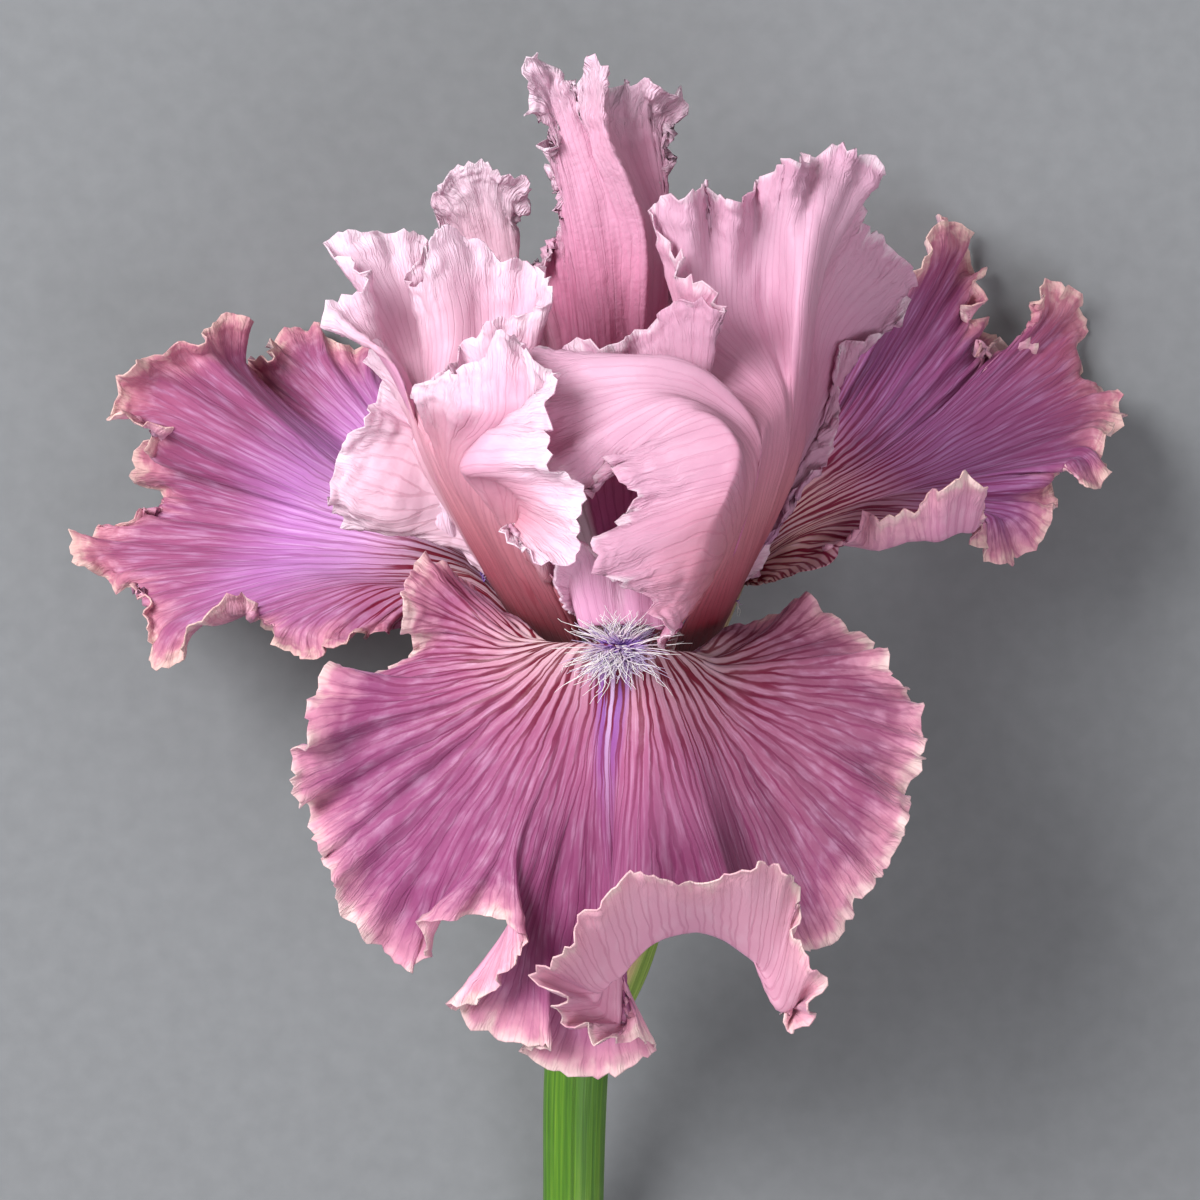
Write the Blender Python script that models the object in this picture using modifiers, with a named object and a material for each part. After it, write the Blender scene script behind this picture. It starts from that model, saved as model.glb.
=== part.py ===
"""Bearded iris flower, cut with a short stem and laid on its back.

The flower is drawn in millimetres in its own frame: X to the right, Y along the stem
towards the top of the bloom, Z up from the surface that it lies on. Each petal is a sheet
lofted from its narrow claw out to a waved margin, then thickened. The whole flower is
moved at the end so that the middle of its base is at the world's origin.
"""
import math
from random import Random

import bmesh
import bpy
import numpy as np
from mathutils import Vector

MM = 0.001
PETAL_THICKNESS = 0.7
LOWEST_SHEET_HEIGHT = 0.42
# A petal that touches the surface bends over this height, and no more above this many of it
SOFTNESS = 1.5
SOFT_REACH = 3

# The bloom leans back on its stem: its axis rises from the surface by this angle
AXIS_TILT = math.radians(21.5)
JUNCTION = np.array([5.0, -9.0, 42.0])
AXIS = np.array([0.0, math.cos(AXIS_TILT), math.sin(AXIS_TILT)])
CLAW_RADIUS = 6.5
CLAW_HALF_ANGLE = math.radians(23)
CLAW_HEIGHT = 0.8

# Rows of a petal from claw to margin, as shares of its length
ROW_KNOTS = (0.0, 0.12, 0.25, 0.5, 0.78, 1.0)
BELLY_SHARE = 0.47
BEND_SHARE = 0.72
BELLY_SMOOTHING = 0.07
BEND_SMOOTHING = 0.028

PETAL_COLUMNS = 120
PETAL_ROWS = 30
PETAL_TRIANGLES = 2050
STYLE_COLUMNS = 40
STYLE_ROWS = 16
STYLE_TRIANGLES = 220
SPATHE_COLUMNS = 24
SPATHE_ROWS = 16
SPATHE_TRIANGLES = 200
# How much longer the margin keeps its points than the blade when a petal is thinned out
MARGIN_CARE = 0.3
WAVE_LENGTH = 13.0
WAVE_HEIGHT = 0.8
WAVE_REACH = 8.0
# How much and how slowly the waves' spacing wanders
WAVE_DRIFT = 1.3
WAVE_DRIFT_LENGTH = 17

COLOURS = {
    "stem": (0.22, 0.42, 0.07),
    "spathe": (0.36, 0.40, 0.12),
    "fall": (0.55, 0.22, 0.42),
    "beard": (0.62, 0.45, 0.72),
    "standard": (0.80, 0.52, 0.62),
    "style": (0.76, 0.50, 0.60),
    "stamen": (0.85, 0.80, 0.62),
}


def outward(azimuth):
    """Direction away from the bloom's axis; azimuth 0 faces up, 90 degrees faces right."""
    angle = math.radians(azimuth)
    return np.array([
        math.sin(angle),
        -math.cos(angle) * math.sin(AXIS_TILT),
        math.cos(angle) * math.cos(AXIS_TILT),
    ])


def at(azimuth, radius, height):
    """Point of the bloom by azimuth, distance from its axis and height over the tube."""
    return JUNCTION + outward(azimuth) * radius + AXIS * height


def claw_line(azimuth, radius=CLAW_RADIUS, height=CLAW_HEIGHT, half_angle=CLAW_HALF_ANGLE):
    spread = math.degrees(half_angle)
    return [at(azimuth + side * spread, radius, height) for side in (-1, 0, 1)]


def spline(knots, values, places):
    """Natural cubic spline through rows of values, read at the given places."""
    knots = np.asarray(knots, float)
    values = np.asarray(values, float)
    count = len(knots)
    if count == 2:
        share = ((places - knots[0]) / (knots[1] - knots[0]))[:, None]
        return values[0] + share * (values[1] - values[0])
    gap = np.diff(knots)
    slope = np.diff(values, axis=0) / gap[:, None]
    matrix = np.eye(count)
    right = np.zeros_like(values)
    for i in range(1, count - 1):
        matrix[i, i - 1:i + 2] = gap[i - 1], 2 * (gap[i - 1] + gap[i]), gap[i]
        right[i] = 6 * (slope[i] - slope[i - 1])
    bend = np.linalg.solve(matrix, right)
    cell = np.clip(np.searchsorted(knots, places) - 1, 0, count - 2)
    width = gap[cell][:, None]
    after = (places - knots[cell])[:, None]
    before = (knots[cell + 1] - places)[:, None]
    return (
        (bend[cell] * before**3 + bend[cell + 1] * after**3) / (6 * width)
        + (values[cell] / width - bend[cell] * width / 6) * before
        + (values[cell + 1] / width - bend[cell + 1] * width / 6) * after
    )


def steady(knots, values, places):
    """Smooth curve through rows of values that never swings past them."""
    knots = np.asarray(knots, float)
    gap = np.diff(knots)[:, None]
    slope = np.diff(values, axis=0) / gap
    before, after = slope[:-1], slope[1:]
    turning = before * after <= 0
    total = np.where(turning, 1, before + after)
    tangent = np.concatenate([slope[:1], np.where(turning, 0, 2 * before * after / total), slope[-1:]])
    cell = np.clip(np.searchsorted(knots, places) - 1, 0, len(knots) - 2)
    width = gap[cell]
    share = (places - knots[cell])[:, None] / width
    rise = share * share * (3 - 2 * share)
    return (
        values[cell] * (1 - rise) + values[cell + 1] * rise
        + tangent[cell] * width * share * (1 - share)**2
        - tangent[cell + 1] * width * share**2 * (1 - share)
    )


def shares(points):
    """Share of a line's length at each of its points, from 0 to 1."""
    steps = np.linalg.norm(np.diff(points, axis=0), axis=1)
    return np.concatenate([[0], np.cumsum(steps)]) / steps.sum()


def even_line(points, places):
    """Smooth line through points that are spaced evenly in share."""
    points = np.asarray(points, float)
    return spline(np.linspace(0, 1, len(points)), points, places)


def smoothed(share, points, reach):
    """Running mean of a line's points, mirrored past both ends so that they stay put."""
    share = np.concatenate([-share[:0:-1], share, 2 - share[-2::-1]])
    points = np.concatenate([2 * points[0] - points[:0:-1], points, 2 * points[-1] - points[-2::-1]])
    weight = np.exp(-((share[:, None] - share[None, :]) / reach)**2 / 2)
    weight = weight * np.gradient(share)[None, :]
    mean = weight @ points / weight.sum(axis=1, keepdims=True)
    count = (len(share) + 2) // 3
    return mean[count - 1:2 * count - 1]


def petal_sheet(petal, columns_at, rows_at):
    """Grid of points over a petal, row 0 at the claw and the last row at the margin."""
    margin = np.array(petal["margin"], float)
    share = shares(margin)
    throat = even_line(petal["throat"], share)
    inner = throat
    if "spine" in petal:
        known = sorted(petal["spine"])
        inner = spline(share[known], [petal["spine"][index] for index in known], share)
    middle = inner + BEND_SHARE * (smoothed(share, margin, BELLY_SMOOTHING) - inner)
    belly = throat + BELLY_SHARE * (middle - throat)
    bend = inner + BEND_SHARE * (smoothed(share, margin, BEND_SMOOTHING) - inner)
    for index, point in petal.get("belly", {}).items():
        belly[index] = point
    for index, point in petal.get("bend", {}).items():
        bend[index] = point
    if "belly" in petal:
        known = sorted(petal["belly"])
        belly[known[0]:known[-1] + 1] = spline(
            share[known], belly[known], share[known[0]:known[-1] + 1])
    lines = [
        even_line(petal["claw"], columns_at),
        even_line(petal["haft"], columns_at),
        even_line(petal["throat"], columns_at),
        spline(share, belly, columns_at),
        spline(share, bend, columns_at),
        spline(share, margin, columns_at),
    ]
    stack = np.array(lines).reshape(len(lines), -1)
    return steady(ROW_KNOTS, stack, rows_at).reshape(len(rows_at), len(columns_at), 3)


def sheet_normals(sheet):
    normal = np.cross(np.gradient(sheet, axis=0), np.gradient(sheet, axis=1))
    return normal / np.maximum(np.linalg.norm(normal, axis=2, keepdims=True), 1e-9)


def waved(sheet, height, phase):
    """Adds the margin's regular waves, which die away into the blade."""
    steps = np.linalg.norm(np.diff(sheet, axis=0), axis=2)
    inward = np.concatenate([np.cumsum(steps[::-1], axis=0)[::-1], np.zeros((1, sheet.shape[1]))])
    along = np.concatenate([[0], np.cumsum(np.linalg.norm(np.diff(sheet[-1], axis=0), axis=1))])
    drift = WAVE_DRIFT * np.sin(along / WAVE_DRIFT_LENGTH + phase)
    wave = np.sin(2 * math.pi * along / WAVE_LENGTH + phase + drift)
    lift = height * wave[None, :] * np.exp(-inward / WAVE_REACH)
    return sheet + sheet_normals(sheet) * lift[:, :, None]


def on_surface(sheet):
    """Eases low parts of a sheet to rest on the surface, as a soft petal does."""
    above = sheet[:, :, 2] - LOWEST_SHEET_HEIGHT
    eased = SOFTNESS * np.logaddexp(0, above / SOFTNESS)
    step = SOFTNESS * math.log1p(math.exp(-SOFT_REACH))
    settled = np.where(above < SOFT_REACH * SOFTNESS, eased - step, above)
    sheet[:, :, 2] = LOWEST_SHEET_HEIGHT + np.maximum(settled, 0)
    return sheet


def material(name):
    slot = bpy.data.materials.get(name) or bpy.data.materials.new(name)
    slot.use_nodes = True
    shader = slot.node_tree.nodes["Principled BSDF"]
    shader.inputs["Base Color"].default_value = (*COLOURS[name], 1)
    shader.inputs["Roughness"].default_value = 0.6
    shader.inputs["Metallic"].default_value = 0
    slot.diffuse_color = (*COLOURS[name], 1)
    return slot


def new_object(name, mesh, slot, home):
    obj = bpy.data.objects.new(name, mesh)
    mesh.materials.append(material(slot))
    home.objects.link(obj)
    return obj


def evaluated_mesh(obj):
    graph = bpy.context.evaluated_depsgraph_get()
    graph.update()
    return bpy.data.meshes.new_from_object(obj.evaluated_get(graph))


def apply_modifiers(obj):
    mesh = evaluated_mesh(obj)
    mesh.materials.clear()
    for slot in obj.data.materials:
        mesh.materials.append(slot)
    obj.modifiers.clear()
    obj.data = mesh


def grid_mesh(name, sheet):
    """Flat grid bent to the sheet's points, and the row that each of its vertices is on."""
    rows, columns = sheet.shape[:2]
    grid = bmesh.new()
    bmesh.ops.create_grid(grid, x_segments=columns - 1, y_segments=rows - 1, size=0.5)
    vertex_rows = []
    for vertex in grid.verts:
        column = round((vertex.co.x + 0.5) * (columns - 1))
        row = round((vertex.co.y + 0.5) * (rows - 1))
        vertex.co = Vector(sheet[row, column] * MM)
        vertex_rows.append(row)
    bmesh.ops.reverse_faces(grid, faces=grid.faces)
    mesh = bpy.data.meshes.new(name)
    grid.to_mesh(mesh)
    grid.free()
    return mesh, vertex_rows


def thin_out(obj, ratio, vertex_rows, last_row):
    """Drops a share of the triangles, more of them inside the blade than on its margin."""
    plainer = obj.vertex_groups.new(name="plainer")
    for index, row in enumerate(vertex_rows):
        plainer.add([index], 1 - (row / last_row)**2, "REPLACE")
    fewer = obj.modifiers.new("fewer", "DECIMATE")
    fewer.ratio = ratio
    fewer.vertex_group = plainer.name
    fewer.vertex_group_factor = MARGIN_CARE
    fewer.use_collapse_triangulate = True


def sheet_object(name, sheet, slot, home, thickness=PETAL_THICKNESS, triangles=None):
    """Blade of even thickness along the sheet's points, thinned out where triangles are set."""
    rows, columns = sheet.shape[:2]
    mesh, vertex_rows = grid_mesh(name, sheet)
    obj = new_object(name, mesh, slot, home)
    if triangles:
        full = 4 * (rows - 1) * (columns - 1)
        thin_out(obj, min(1.0, triangles / full), vertex_rows, rows - 1)
    thicken = obj.modifiers.new("thicken", "SOLIDIFY")
    thicken.thickness = thickness * MM
    thicken.offset = 0
    split = obj.modifiers.new("split", "TRIANGULATE")
    split.quad_method = "FIXED"
    apply_modifiers(obj)
    return obj


FALL_FRONT = {
    "margin": [
        (-11.5, 2.6, 63), (-18, 6, 57.5), (-22.5, 10.8, 55), (-27.3, 11.7, 63), (-29.4, 6.8, 70),
        (-30, 1.5, 66), (-28.2, -2.3, 60), (-33, -4.8, 58), (-37.2, -8.4, 58), (-39.8, -5.1, 66),
        (-43.8, -12.8, 72), (-45.6, -20.3, 68), (-44.3, -26.3, 62), (-40.5, -32.3, 66),
        (-39, -39, 62), (-33, -45.8, 58), (-27.8, -48, 56), (-25.2, -42.8, 66), (-18.3, -41.3, 67),
        (-12, -43.5, 69), (-15, -51.8, 66), (-21.6, -55.2, 60), (-15, -59.3, 57), (-7.8, -60.3, 61),
        (-12, -62, 54), (-0.3, -65.4, 54), (8.3, -61, 58), (1.8, -59, 66), (-6, -54.8, 74),
        (-7.5, -50, 80), (-2.3, -40.5, 86), (5.4, -33.8, 89), (14, -35.2, 85), (22.5, -32.4, 86),
        (29, -37.4, 78), (30, -44.3, 76), (33, -52.8, 73), (28, -58, 65), (30.5, -46.2, 62),
        (34.8, -45.3, 58), (37.5, -39.8, 64), (42, -34.2, 60), (45.8, -28.5, 66), (46.8, -22.5, 60),
        (48, -15.8, 64), (46.8, -9, 60), (42.8, -4.5, 63), (39.8, 0, 58), (36, 3.8, 58),
        (30, 5.9, 55), (24, 4.5, 54), (19.5, 0.8, 57), (15, -0.6, 62),
    ],
    "bend": {
        27: (4, -56, 61), 28: (0, -54.5, 64), 29: (-1, -52.5, 67), 30: (2, -50.5, 70),
        31: (7.5, -45, 72), 32: (15, -43, 70), 33: (21.8, -46.5, 68), 34: (25, -51, 67),
        35: (26.5, -54.5, 66), 36: (27.5, -54, 64), 37: (27, -50.5, 62),
    },
    "throat": [(-8, -0.5, 70), (3, -0.5, 77), (13, -2, 70)],
    "haft": [(-0.5, -9, 59), (4, -9.5, 61.5), (8.5, -9, 59)],
    "azimuth": 0,
}

FALL_LEFT = {
    "margin": [
        (-25.5, 30, 22), (-28.5, 37.5, 14), (-33.8, 44.3, 6), (-39.8, 45.3, 8), (-45.8, 48, 1),
        (-50.4, 46.8, 4), (-50.7, 43.5, 12), (-55.2, 41.7, 4), (-54, 38.4, -1), (-56.7, 44.3, 10),
        (-56.3, 50, 20), (-60, 48.3, 21), (-63.8, 45, 26), (-69, 43.2, 27), (-72.9, 40.8, 31),
        (-73.8, 36.8, 29), (-75, 33.3, 31), (-69.8, 33.3, 29), (-71, 27.8, 14), (-70.2, 23.3, 8),
        (-67.3, 20.2, 12), (-70.5, 20.2, 16), (-75, 17.4, 16), (-79.8, 16.2, 18),
        (-79.2, 11.7, 23), (-76.5, 9.3, 21), (-71.3, 7.8, 26), (-69, 2.3, 34), (-67.8, -3.6, 32),
        (-63, -1.5, 40), (-59.3, 4.8, 46), (-53.3, 6, 44), (-50.7, 1.5, 40), (-46.5, -2.6, 42),
        (-41.3, -3, 46), (-39, 0, 50), (-33.8, 0.8, 46), (-28.5, 2.3, 42), (-24, 5.3, 40),
    ],
    "belly": {
        0: (-20.8, 22.2, 24.9), 4: (-30.4, 27.5, 19.6), 8: (-35.1, 26.3, 19.9),
        12: (-40.5, 25.7, 25), 16: (-43, 22.4, 26.5), 20: (-43.4, 16.5, 26), 24: (-44.5, 12.5, 29.5),
        28: (-41, 9.5, 35.5), 32: (-33.5, 8.3, 39.5), 36: (-25.5, 6.8, 40.5), 38: (-21.3, 5.4, 40.3),
    },
    "spine": {
        0: (-24, 27, 24), 4: (-42, 38, 14), 8: (-46, 32, 7), 11: (-53, 35, 14), 14: (-60, 35, 19),
        16: (-60, 31, 20), 18: (-57, 25.5, 12), 20: (-57, 20, 14), 24: (-67, 14, 21), 28: (-61, 6, 35),
        33: (-45, 4.5, 43), 38: (-21.5, 4.3, 40.5),
    },
    "throat": [(-17, 17, 27), (-22, 13, 34), (-18.3, 5.4, 40.8)],
    "haft": [(-6.5, 1.5, 32), (-8, -1, 37), (-8, -3, 42)],
    "azimuth": -120,
}

FALL_RIGHT = {
    "margin": [
        (22.4, 8.5, 36.8), (27, 9, 42.4), (33, 11.3, 48), (36.3, 13.5, 46), (39.5, 18, 50),
        (43, 18.6, 52), (46, 18.5, 53), (50, 22, 56), (53.5, 24, 58), (56.8, 23.6, 55),
        (57.4, 17.5, 45), (60.8, 11.6, 36), (66.5, 14.4, 34), (69.6, 20.9, 32), (68.6, 26, 26),
        (71.6, 25.7, 32), (73.5, 22.4, 36), (77.3, 27.2, 26), (76.8, 29.7, 22), (79.8, 34.8, 12),
        (78.9, 37.2, 7), (75.9, 39.3, 1), (74.1, 44.1, -1.5), (75.3, 51, 1), (71.3, 54.9, 6),
        (67.8, 52.5, 10), (67.2, 48.2, 7), (62.4, 42.9, 10), (57.2, 44.4, 13), (61.2, 44.9, 8),
        (61.2, 47.7, 1), (57.9, 48.5, 5), (55.8, 51, 10), (60, 54.9, 5), (59, 59, 0),
        (55.2, 64.2, 3), (52.8, 65.3, 8), (50, 59.7, 16), (45, 51, 20), (39, 46.5, 20),
        (35.3, 42, 20),
    ],
    "belly": {
        0: (21.2, 8, 36.2), 3: (27.5, 12.8, 39.2), 6: (34, 16, 42), 9: (39, 18.5, 41.5),
        12: (43, 21, 38), 16: (47, 22.5, 31.5), 19: (49, 24.5, 26), 24: (48.5, 29.5, 20.7),
        30: (43, 30, 21), 36: (39.5, 35.6, 19.7), 40: (31, 29.2, 23.3),
    },
    "bend": {
        4: (38.5, 13.8, 46), 5: (42.5, 14, 46.5), 6: (46.5, 14.4, 47), 7: (50, 14.8, 47.5),
        8: (53, 15.6, 47), 9: (55.5, 16.5, 45), 10: (57, 17.5, 42), 11: (59.5, 18.5, 38),
        12: (62, 19.5, 35.5),
    },
    "spine": {
        0: (21.6, 8.2, 36.6), 3: (30, 13.2, 41.8), 5: (38.5, 17, 44), 9: (50, 20.3, 46),
        12: (58, 20, 36), 16: (66, 32, 26), 20: (70, 38, 12), 24: (68, 48, 6), 28: (57, 36, 13.5),
        32: (54, 44, 14), 35: (54, 56, 8), 38: (46, 46, 19), 40: (36, 37, 21),
    },
    "throat": [(19.6, 7.2, 36.6), (25.5, 14.5, 34), (27, 22, 27)],
    "haft": [(16, -3, 42), (17.5, -1, 37.5), (15, 1.5, 32)],
    "azimuth": 120,
}

STANDARD_RIGHT = {
    "margin": [
        (12, 4, 73), (9.3, 1, 86), (7, 7, 88), (1.4, 9.8, 90), (-0.4, 14, 89.5), (5, 20.6, 86),
        (3.3, 23.6, 87), (1.2, 26, 86), (-2.2, 21.4, 83.5), (-9, 27, 81), (-10, 37, 78),
        (-9, 42, 76), (-1.5, 43.6, 75), (5.7, 45.9, 75), (12, 51, 80), (18.3, 48.3, 84),
        (14, 53, 76), (10.2, 57.8, 72), (8, 65, 70), (13.5, 65.6, 74), (15.6, 68, 68),
        (19.5, 65.6, 72), (23.7, 69.3, 66), (26.4, 70.2, 72), (31.5, 71.9, 66), (37.8, 72, 64),
        (41.7, 70, 60), (39.3, 64.2, 56), (39, 63, 50), (44.7, 59.4, 44), (48, 54.5, 40),
        (43, 47, 40), (36.8, 45.8, 44), (36.3, 31, 44), (32, 25, 47), (25, 15, 50.5),
    ],
    "belly": {
        0: (14, 5, 73), 3: (18.5, 13, 77), 8: (22.5, 23, 79), 14: (24, 30, 80),
        20: (27, 32.5, 75), 25: (29, 32, 69), 27: (30.3, 30.5, 61), 29: (30, 28, 54),
        32: (28, 23, 49), 35: (24.5, 14.5, 49.5),
    },
    "bend": {
        1: (11, 2.6, 83), 2: (13.5, 8, 86), 3: (15.8, 15, 88), 4: (17.8, 20, 89),
        5: (19.5, 24.5, 89.5), 6: (20, 28, 89.5), 7: (18, 31, 89), 8: (14, 33.5, 88),
        9: (10, 36, 86), 10: (8, 39, 84), 11: (9, 41.5, 82), 24: (30, 58, 70), 25: (32.5, 56.5, 68),
        26: (33, 53.5, 65), 27: (31.6, 50.5, 58), 28: (31.8, 48, 50), 29: (34, 45.5, 45),
        30: (36, 42.5, 42), 31: (36, 39, 42), 32: (34.5, 36, 43.5), 33: (33, 29.5, 45),
    },
    "throat": [(12, 1.5, 65), (19.5, 6, 59.5), (22, 10, 50.5)],
    "haft": [(10, -6, 54), (15, -4, 50.5), (15.5, -1.5, 45.5)],
    "azimuth": 60,
}

STANDARD_LEFT = {
    "margin": [
        (-19.5, 12, 44), (-24.3, 21, 46), (-30.5, 19, 44), (-36.6, 17.4, 46), (-41.3, 23, 50),
        (-37.8, 30.9, 52), (-32.6, 39, 52), (-33.8, 43.2, 56), (-39.3, 49.2, 62),
        (-35.6, 52.3, 61), (-38.6, 57, 55), (-39.6, 60.2, 52), (-33.8, 61.8, 50), (-26.3, 60, 49),
        (-28.5, 54.5, 54), (-26.6, 54.5, 60), (-25.6, 58.4, 62), (-24.4, 61.6, 62),
        (-19.3, 60.4, 59), (-14.6, 56.9, 57), (-7.8, 55.2, 62), (-7, 53.4, 66),
        (-9.8, 49.8, 70), (-16, 47.5, 66), (-21, 42.5, 66), (-26, 37.4, 73), (-23.6, 39, 77),
        (-20.5, 38.8, 79), (-17.3, 41.3, 80), (-13.5, 45.5, 80.5), (-11, 43.2, 82),
        (-9, 41.2, 84.5), (-7.6, 39.3, 87.5), (-6.8, 37.6, 90), (-7.4, 34.5, 91),
        (-7.2, 30, 91.5), (-6.6, 27, 92), (-3.2, 23.6, 92), (-1.6, 19.8, 91), (-2.8, 16, 90),
        (-3.8, 12.6, 90), (-7.5, 11.7, 89), (-11, 13, 87), (-14, 16.6, 84.5), (-11, 16, 80),
        (-8, 12, 77), (-4, 6, 71),
    ],
    "belly": {
        0: (-16, 9, 47), 3: (-21.5, 16.5, 46), 5: (-25.5, 24, 49), 7: (-26.3, 28, 59),
        10: (-25.5, 30, 64), 18: (-26, 30.5, 64), 25: (-24, 28, 68),
        32: (-18, 22, 75), 38: (-13, 15, 76), 43: (-10, 11, 75), 46: (-4, 4.5, 70),
    },
    "bend": {
        5: (-29, 29.5, 49), 6: (-28.8, 33, 51), 7: (-29, 37, 58), 8: (-31, 41, 64),
        12: (-28.5, 46, 51), 13: (-25.5, 46, 50.5), 14: (-26.5, 44.5, 54), 15: (-25, 43.5, 58),
        16: (-22.8, 45, 60), 17: (-20.8, 45.5, 60),
        25: (-26.5, 36, 75), 26: (-24, 35.4, 78), 27: (-20.5, 34.6, 81), 28: (-17, 34.2, 83),
        29: (-13.5, 34.2, 84.5), 30: (-11, 34.8, 86), 31: (-9.6, 35.6, 87), 32: (-8.8, 36.3, 88),
        33: (-9.5, 35.9, 88.5), 34: (-13, 33.4, 88), 35: (-17, 30, 87), 36: (-20, 26, 85.5),
        37: (-17, 24, 86), 38: (-13.4, 22.6, 85.5), 39: (-11.8, 20.6, 84.5), 40: (-12, 18.6, 83),
        41: (-12.6, 17.2, 82), 42: (-13, 16.4, 81.5), 43: (-12.6, 15.6, 80),
    },
    "throat": [(-13, 5.5, 46), (-13.5, 4.5, 56), (-3, 0.8, 65)],
    "haft": [(-6, -1.5, 43.5), (-8, -4, 49), (-1, -5.5, 54)],
    "azimuth": -60,
}

STANDARD_BACK = {
    "margin": [
        (13, 22, 24), (15, 38, 28), (12.5, 50, 33), (11.5, 58, 37), (10.8, 65.5, 41), (9.8, 69, 43),
        (9.6, 72.5, 45), (10.7, 76, 46), (12.3, 80.5, 47), (10.4, 82, 49), (7.8, 83.4, 51),
        (5.4, 84.1, 50), (3.5, 83.5, 51), (1.6, 83, 49), (1.3, 84.6, 53), (0.3, 86.1, 55),
        (-0.9, 87.4, 55), (-2.4, 87, 54), (-3.2, 85.1, 54), (-4.6, 83.5, 52), (-6.1, 83.1, 51),
        (-7.8, 86, 52), (-8.9, 87.7, 54), (-11, 87.1, 56), (-10.9, 83, 54), (-10.4, 79.9, 52),
        (-8.3, 78.2, 50), (-5.8, 76.7, 50), (-8.4, 74.1, 49), (-8.6, 72, 47), (-7.7, 69.2, 46),
        (-6.9, 65.8, 46), (-5.5, 63.7, 44), (-6.3, 60.9, 42), (-8.9, 57.3, 40), (-13.2, 56.9, 36),
        (-15, 58.5, 36), (-14.7, 62, 40), (-10.5, 66.3, 46), (-10.4, 68.7, 48), (-14.6, 70.5, 50),
        (-18, 71.3, 50), (-21, 71.7, 48), (-23.9, 69.5, 46), (-25.4, 66, 44), (-24.6, 61.7, 40),
        (-25.5, 57, 36), (-27, 51, 30), (-24, 38, 24), (-16, 24, 22),
    ],
    "spine": {
        0: (5, 22, 25), 3: (7, 48, 35), 5: (7, 62, 42), 8: (6.5, 72, 46), 11: (4, 76, 48),
        14: (1.5, 76, 55), 20: (-4, 78, 52), 24: (-6, 78, 51), 28: (-3, 68, 48), 32: (-3, 54, 40),
        35: (-13, 49, 33), 38: (-14, 57, 42), 42: (-18, 62, 44), 46: (-18, 48, 30), 49: (-9, 24, 24),
    },
    "belly": {
        0: (11, 17.5, 28), 4: (10.5, 36, 33), 8: (10.5, 52, 38.5), 11: (9.8, 56, 40.5),
        12: (9.2, 56.6, 41.5), 13: (8.2, 56.9, 44), 14: (7.2, 57, 47), 15: (6.4, 57, 46.8),
        18: (4, 56, 45), 22: (0.5, 53, 43.5), 26: (-2, 50, 41), 30: (-3, 44, 37), 34: (-5, 38, 33.5),
        38: (-8.4, 38, 33.6), 42: (-11.5, 38, 34), 46: (-13.9, 32, 29.5), 49: (-11.4, 18.7, 26),
    },
    "bend": {
        11: (5, 77, 48), 12: (3.8, 77, 49), 13: (2.3, 77.2, 52), 14: (0.9, 77.5, 57),
        15: (0.1, 78, 56.5), 16: (-0.9, 78.2, 55.5), 17: (-2, 78.2, 54.6), 18: (-3, 78, 54),
    },
    "throat": [(10, 13, 31), (1, 17, 25), (-9, 14, 29)],
    "haft": [(9, 3, 33), (5, 4, 31), (1, 3, 33)],
    "azimuth": 180,
}

PETALS = {
    "fall_front": FALL_FRONT,
    "fall_left": FALL_LEFT,
    "fall_right": FALL_RIGHT,
    "standard_left": STANDARD_LEFT,
    "standard_right": STANDARD_RIGHT,
    "standard_back": STANDARD_BACK,
}


def build_petals(home):
    """Builds falls and standards, and gives back their sheets."""
    sheets = {}
    for number, (name, petal) in enumerate(PETALS.items()):
        petal["claw"] = claw_line(petal["azimuth"])
        sheet = petal_sheet(petal, np.linspace(0, 1, PETAL_COLUMNS), np.linspace(0, 1, PETAL_ROWS))
        sheets[name] = on_surface(waved(sheet, WAVE_HEIGHT, number))
        kind = name.split("_")[0]
        sheet_object(name, sheets[name], kind, home, triangles=PETAL_TRIANGLES)
    return sheets


# Style arm: side offset, distance from the bloom's axis and height over the tube
STYLE_CREST = [
    (-5, 22, 22), (-8, 26, 25), (-9, 29, 30), (-7, 30, 35), (-4, 30.5, 37), (-1.5, 30, 34),
    (0, 29.5, 31), (1.5, 30, 34), (4, 30.5, 37), (7, 30, 35), (9, 29, 30), (8, 26, 25),
    (5, 22, 22),
]
# Height of the crest's tips, where a leaning arm stands out by its full lean
STYLE_HEIGHT = 37
STYLE_THROAT = [(-5, 18, 24), (0, 18, 25.5), (5, 18, 24)]
STYLE_HAFT = [(-3, 9.5, 15.5), (0, 9.5, 16.5), (3, 9.5, 15.5)]
STYLE_CLAW = [(-1.5, 2.6, 0.8), (0, 2.8, 0.8), (1.5, 2.6, 0.8)]
STYLE_LIP = {2: (-6, 28, 23), 6: (0, 29.5, 24), 10: (6, 28, 23)}
# Each arm's azimuth, share of the full size, and how far its crest leans sideways
STYLE_ARMS = {"front": (0, 1.0, -4), "left": (-124, 0.72, 0), "right": (126, 0.72, 0)}


def style_petal(azimuth, size, lean):
    """Places the style arm's points round the bloom's axis."""
    def placed(point):
        side, radius, height = (value * size for value in point)
        side += lean * (height / STYLE_HEIGHT)**2
        return at(azimuth, radius, height) + outward(azimuth + 90) * side
    return {
        "margin": [placed(point) for point in STYLE_CREST],
        "belly": {index: placed(point) for index, point in STYLE_LIP.items()},
        "throat": [placed(point) for point in STYLE_THROAT],
        "haft": [placed(point) for point in STYLE_HAFT],
        "claw": [at(azimuth, radius, height) + outward(azimuth + 90) * side
                 for side, radius, height in STYLE_CLAW],
    }


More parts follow.
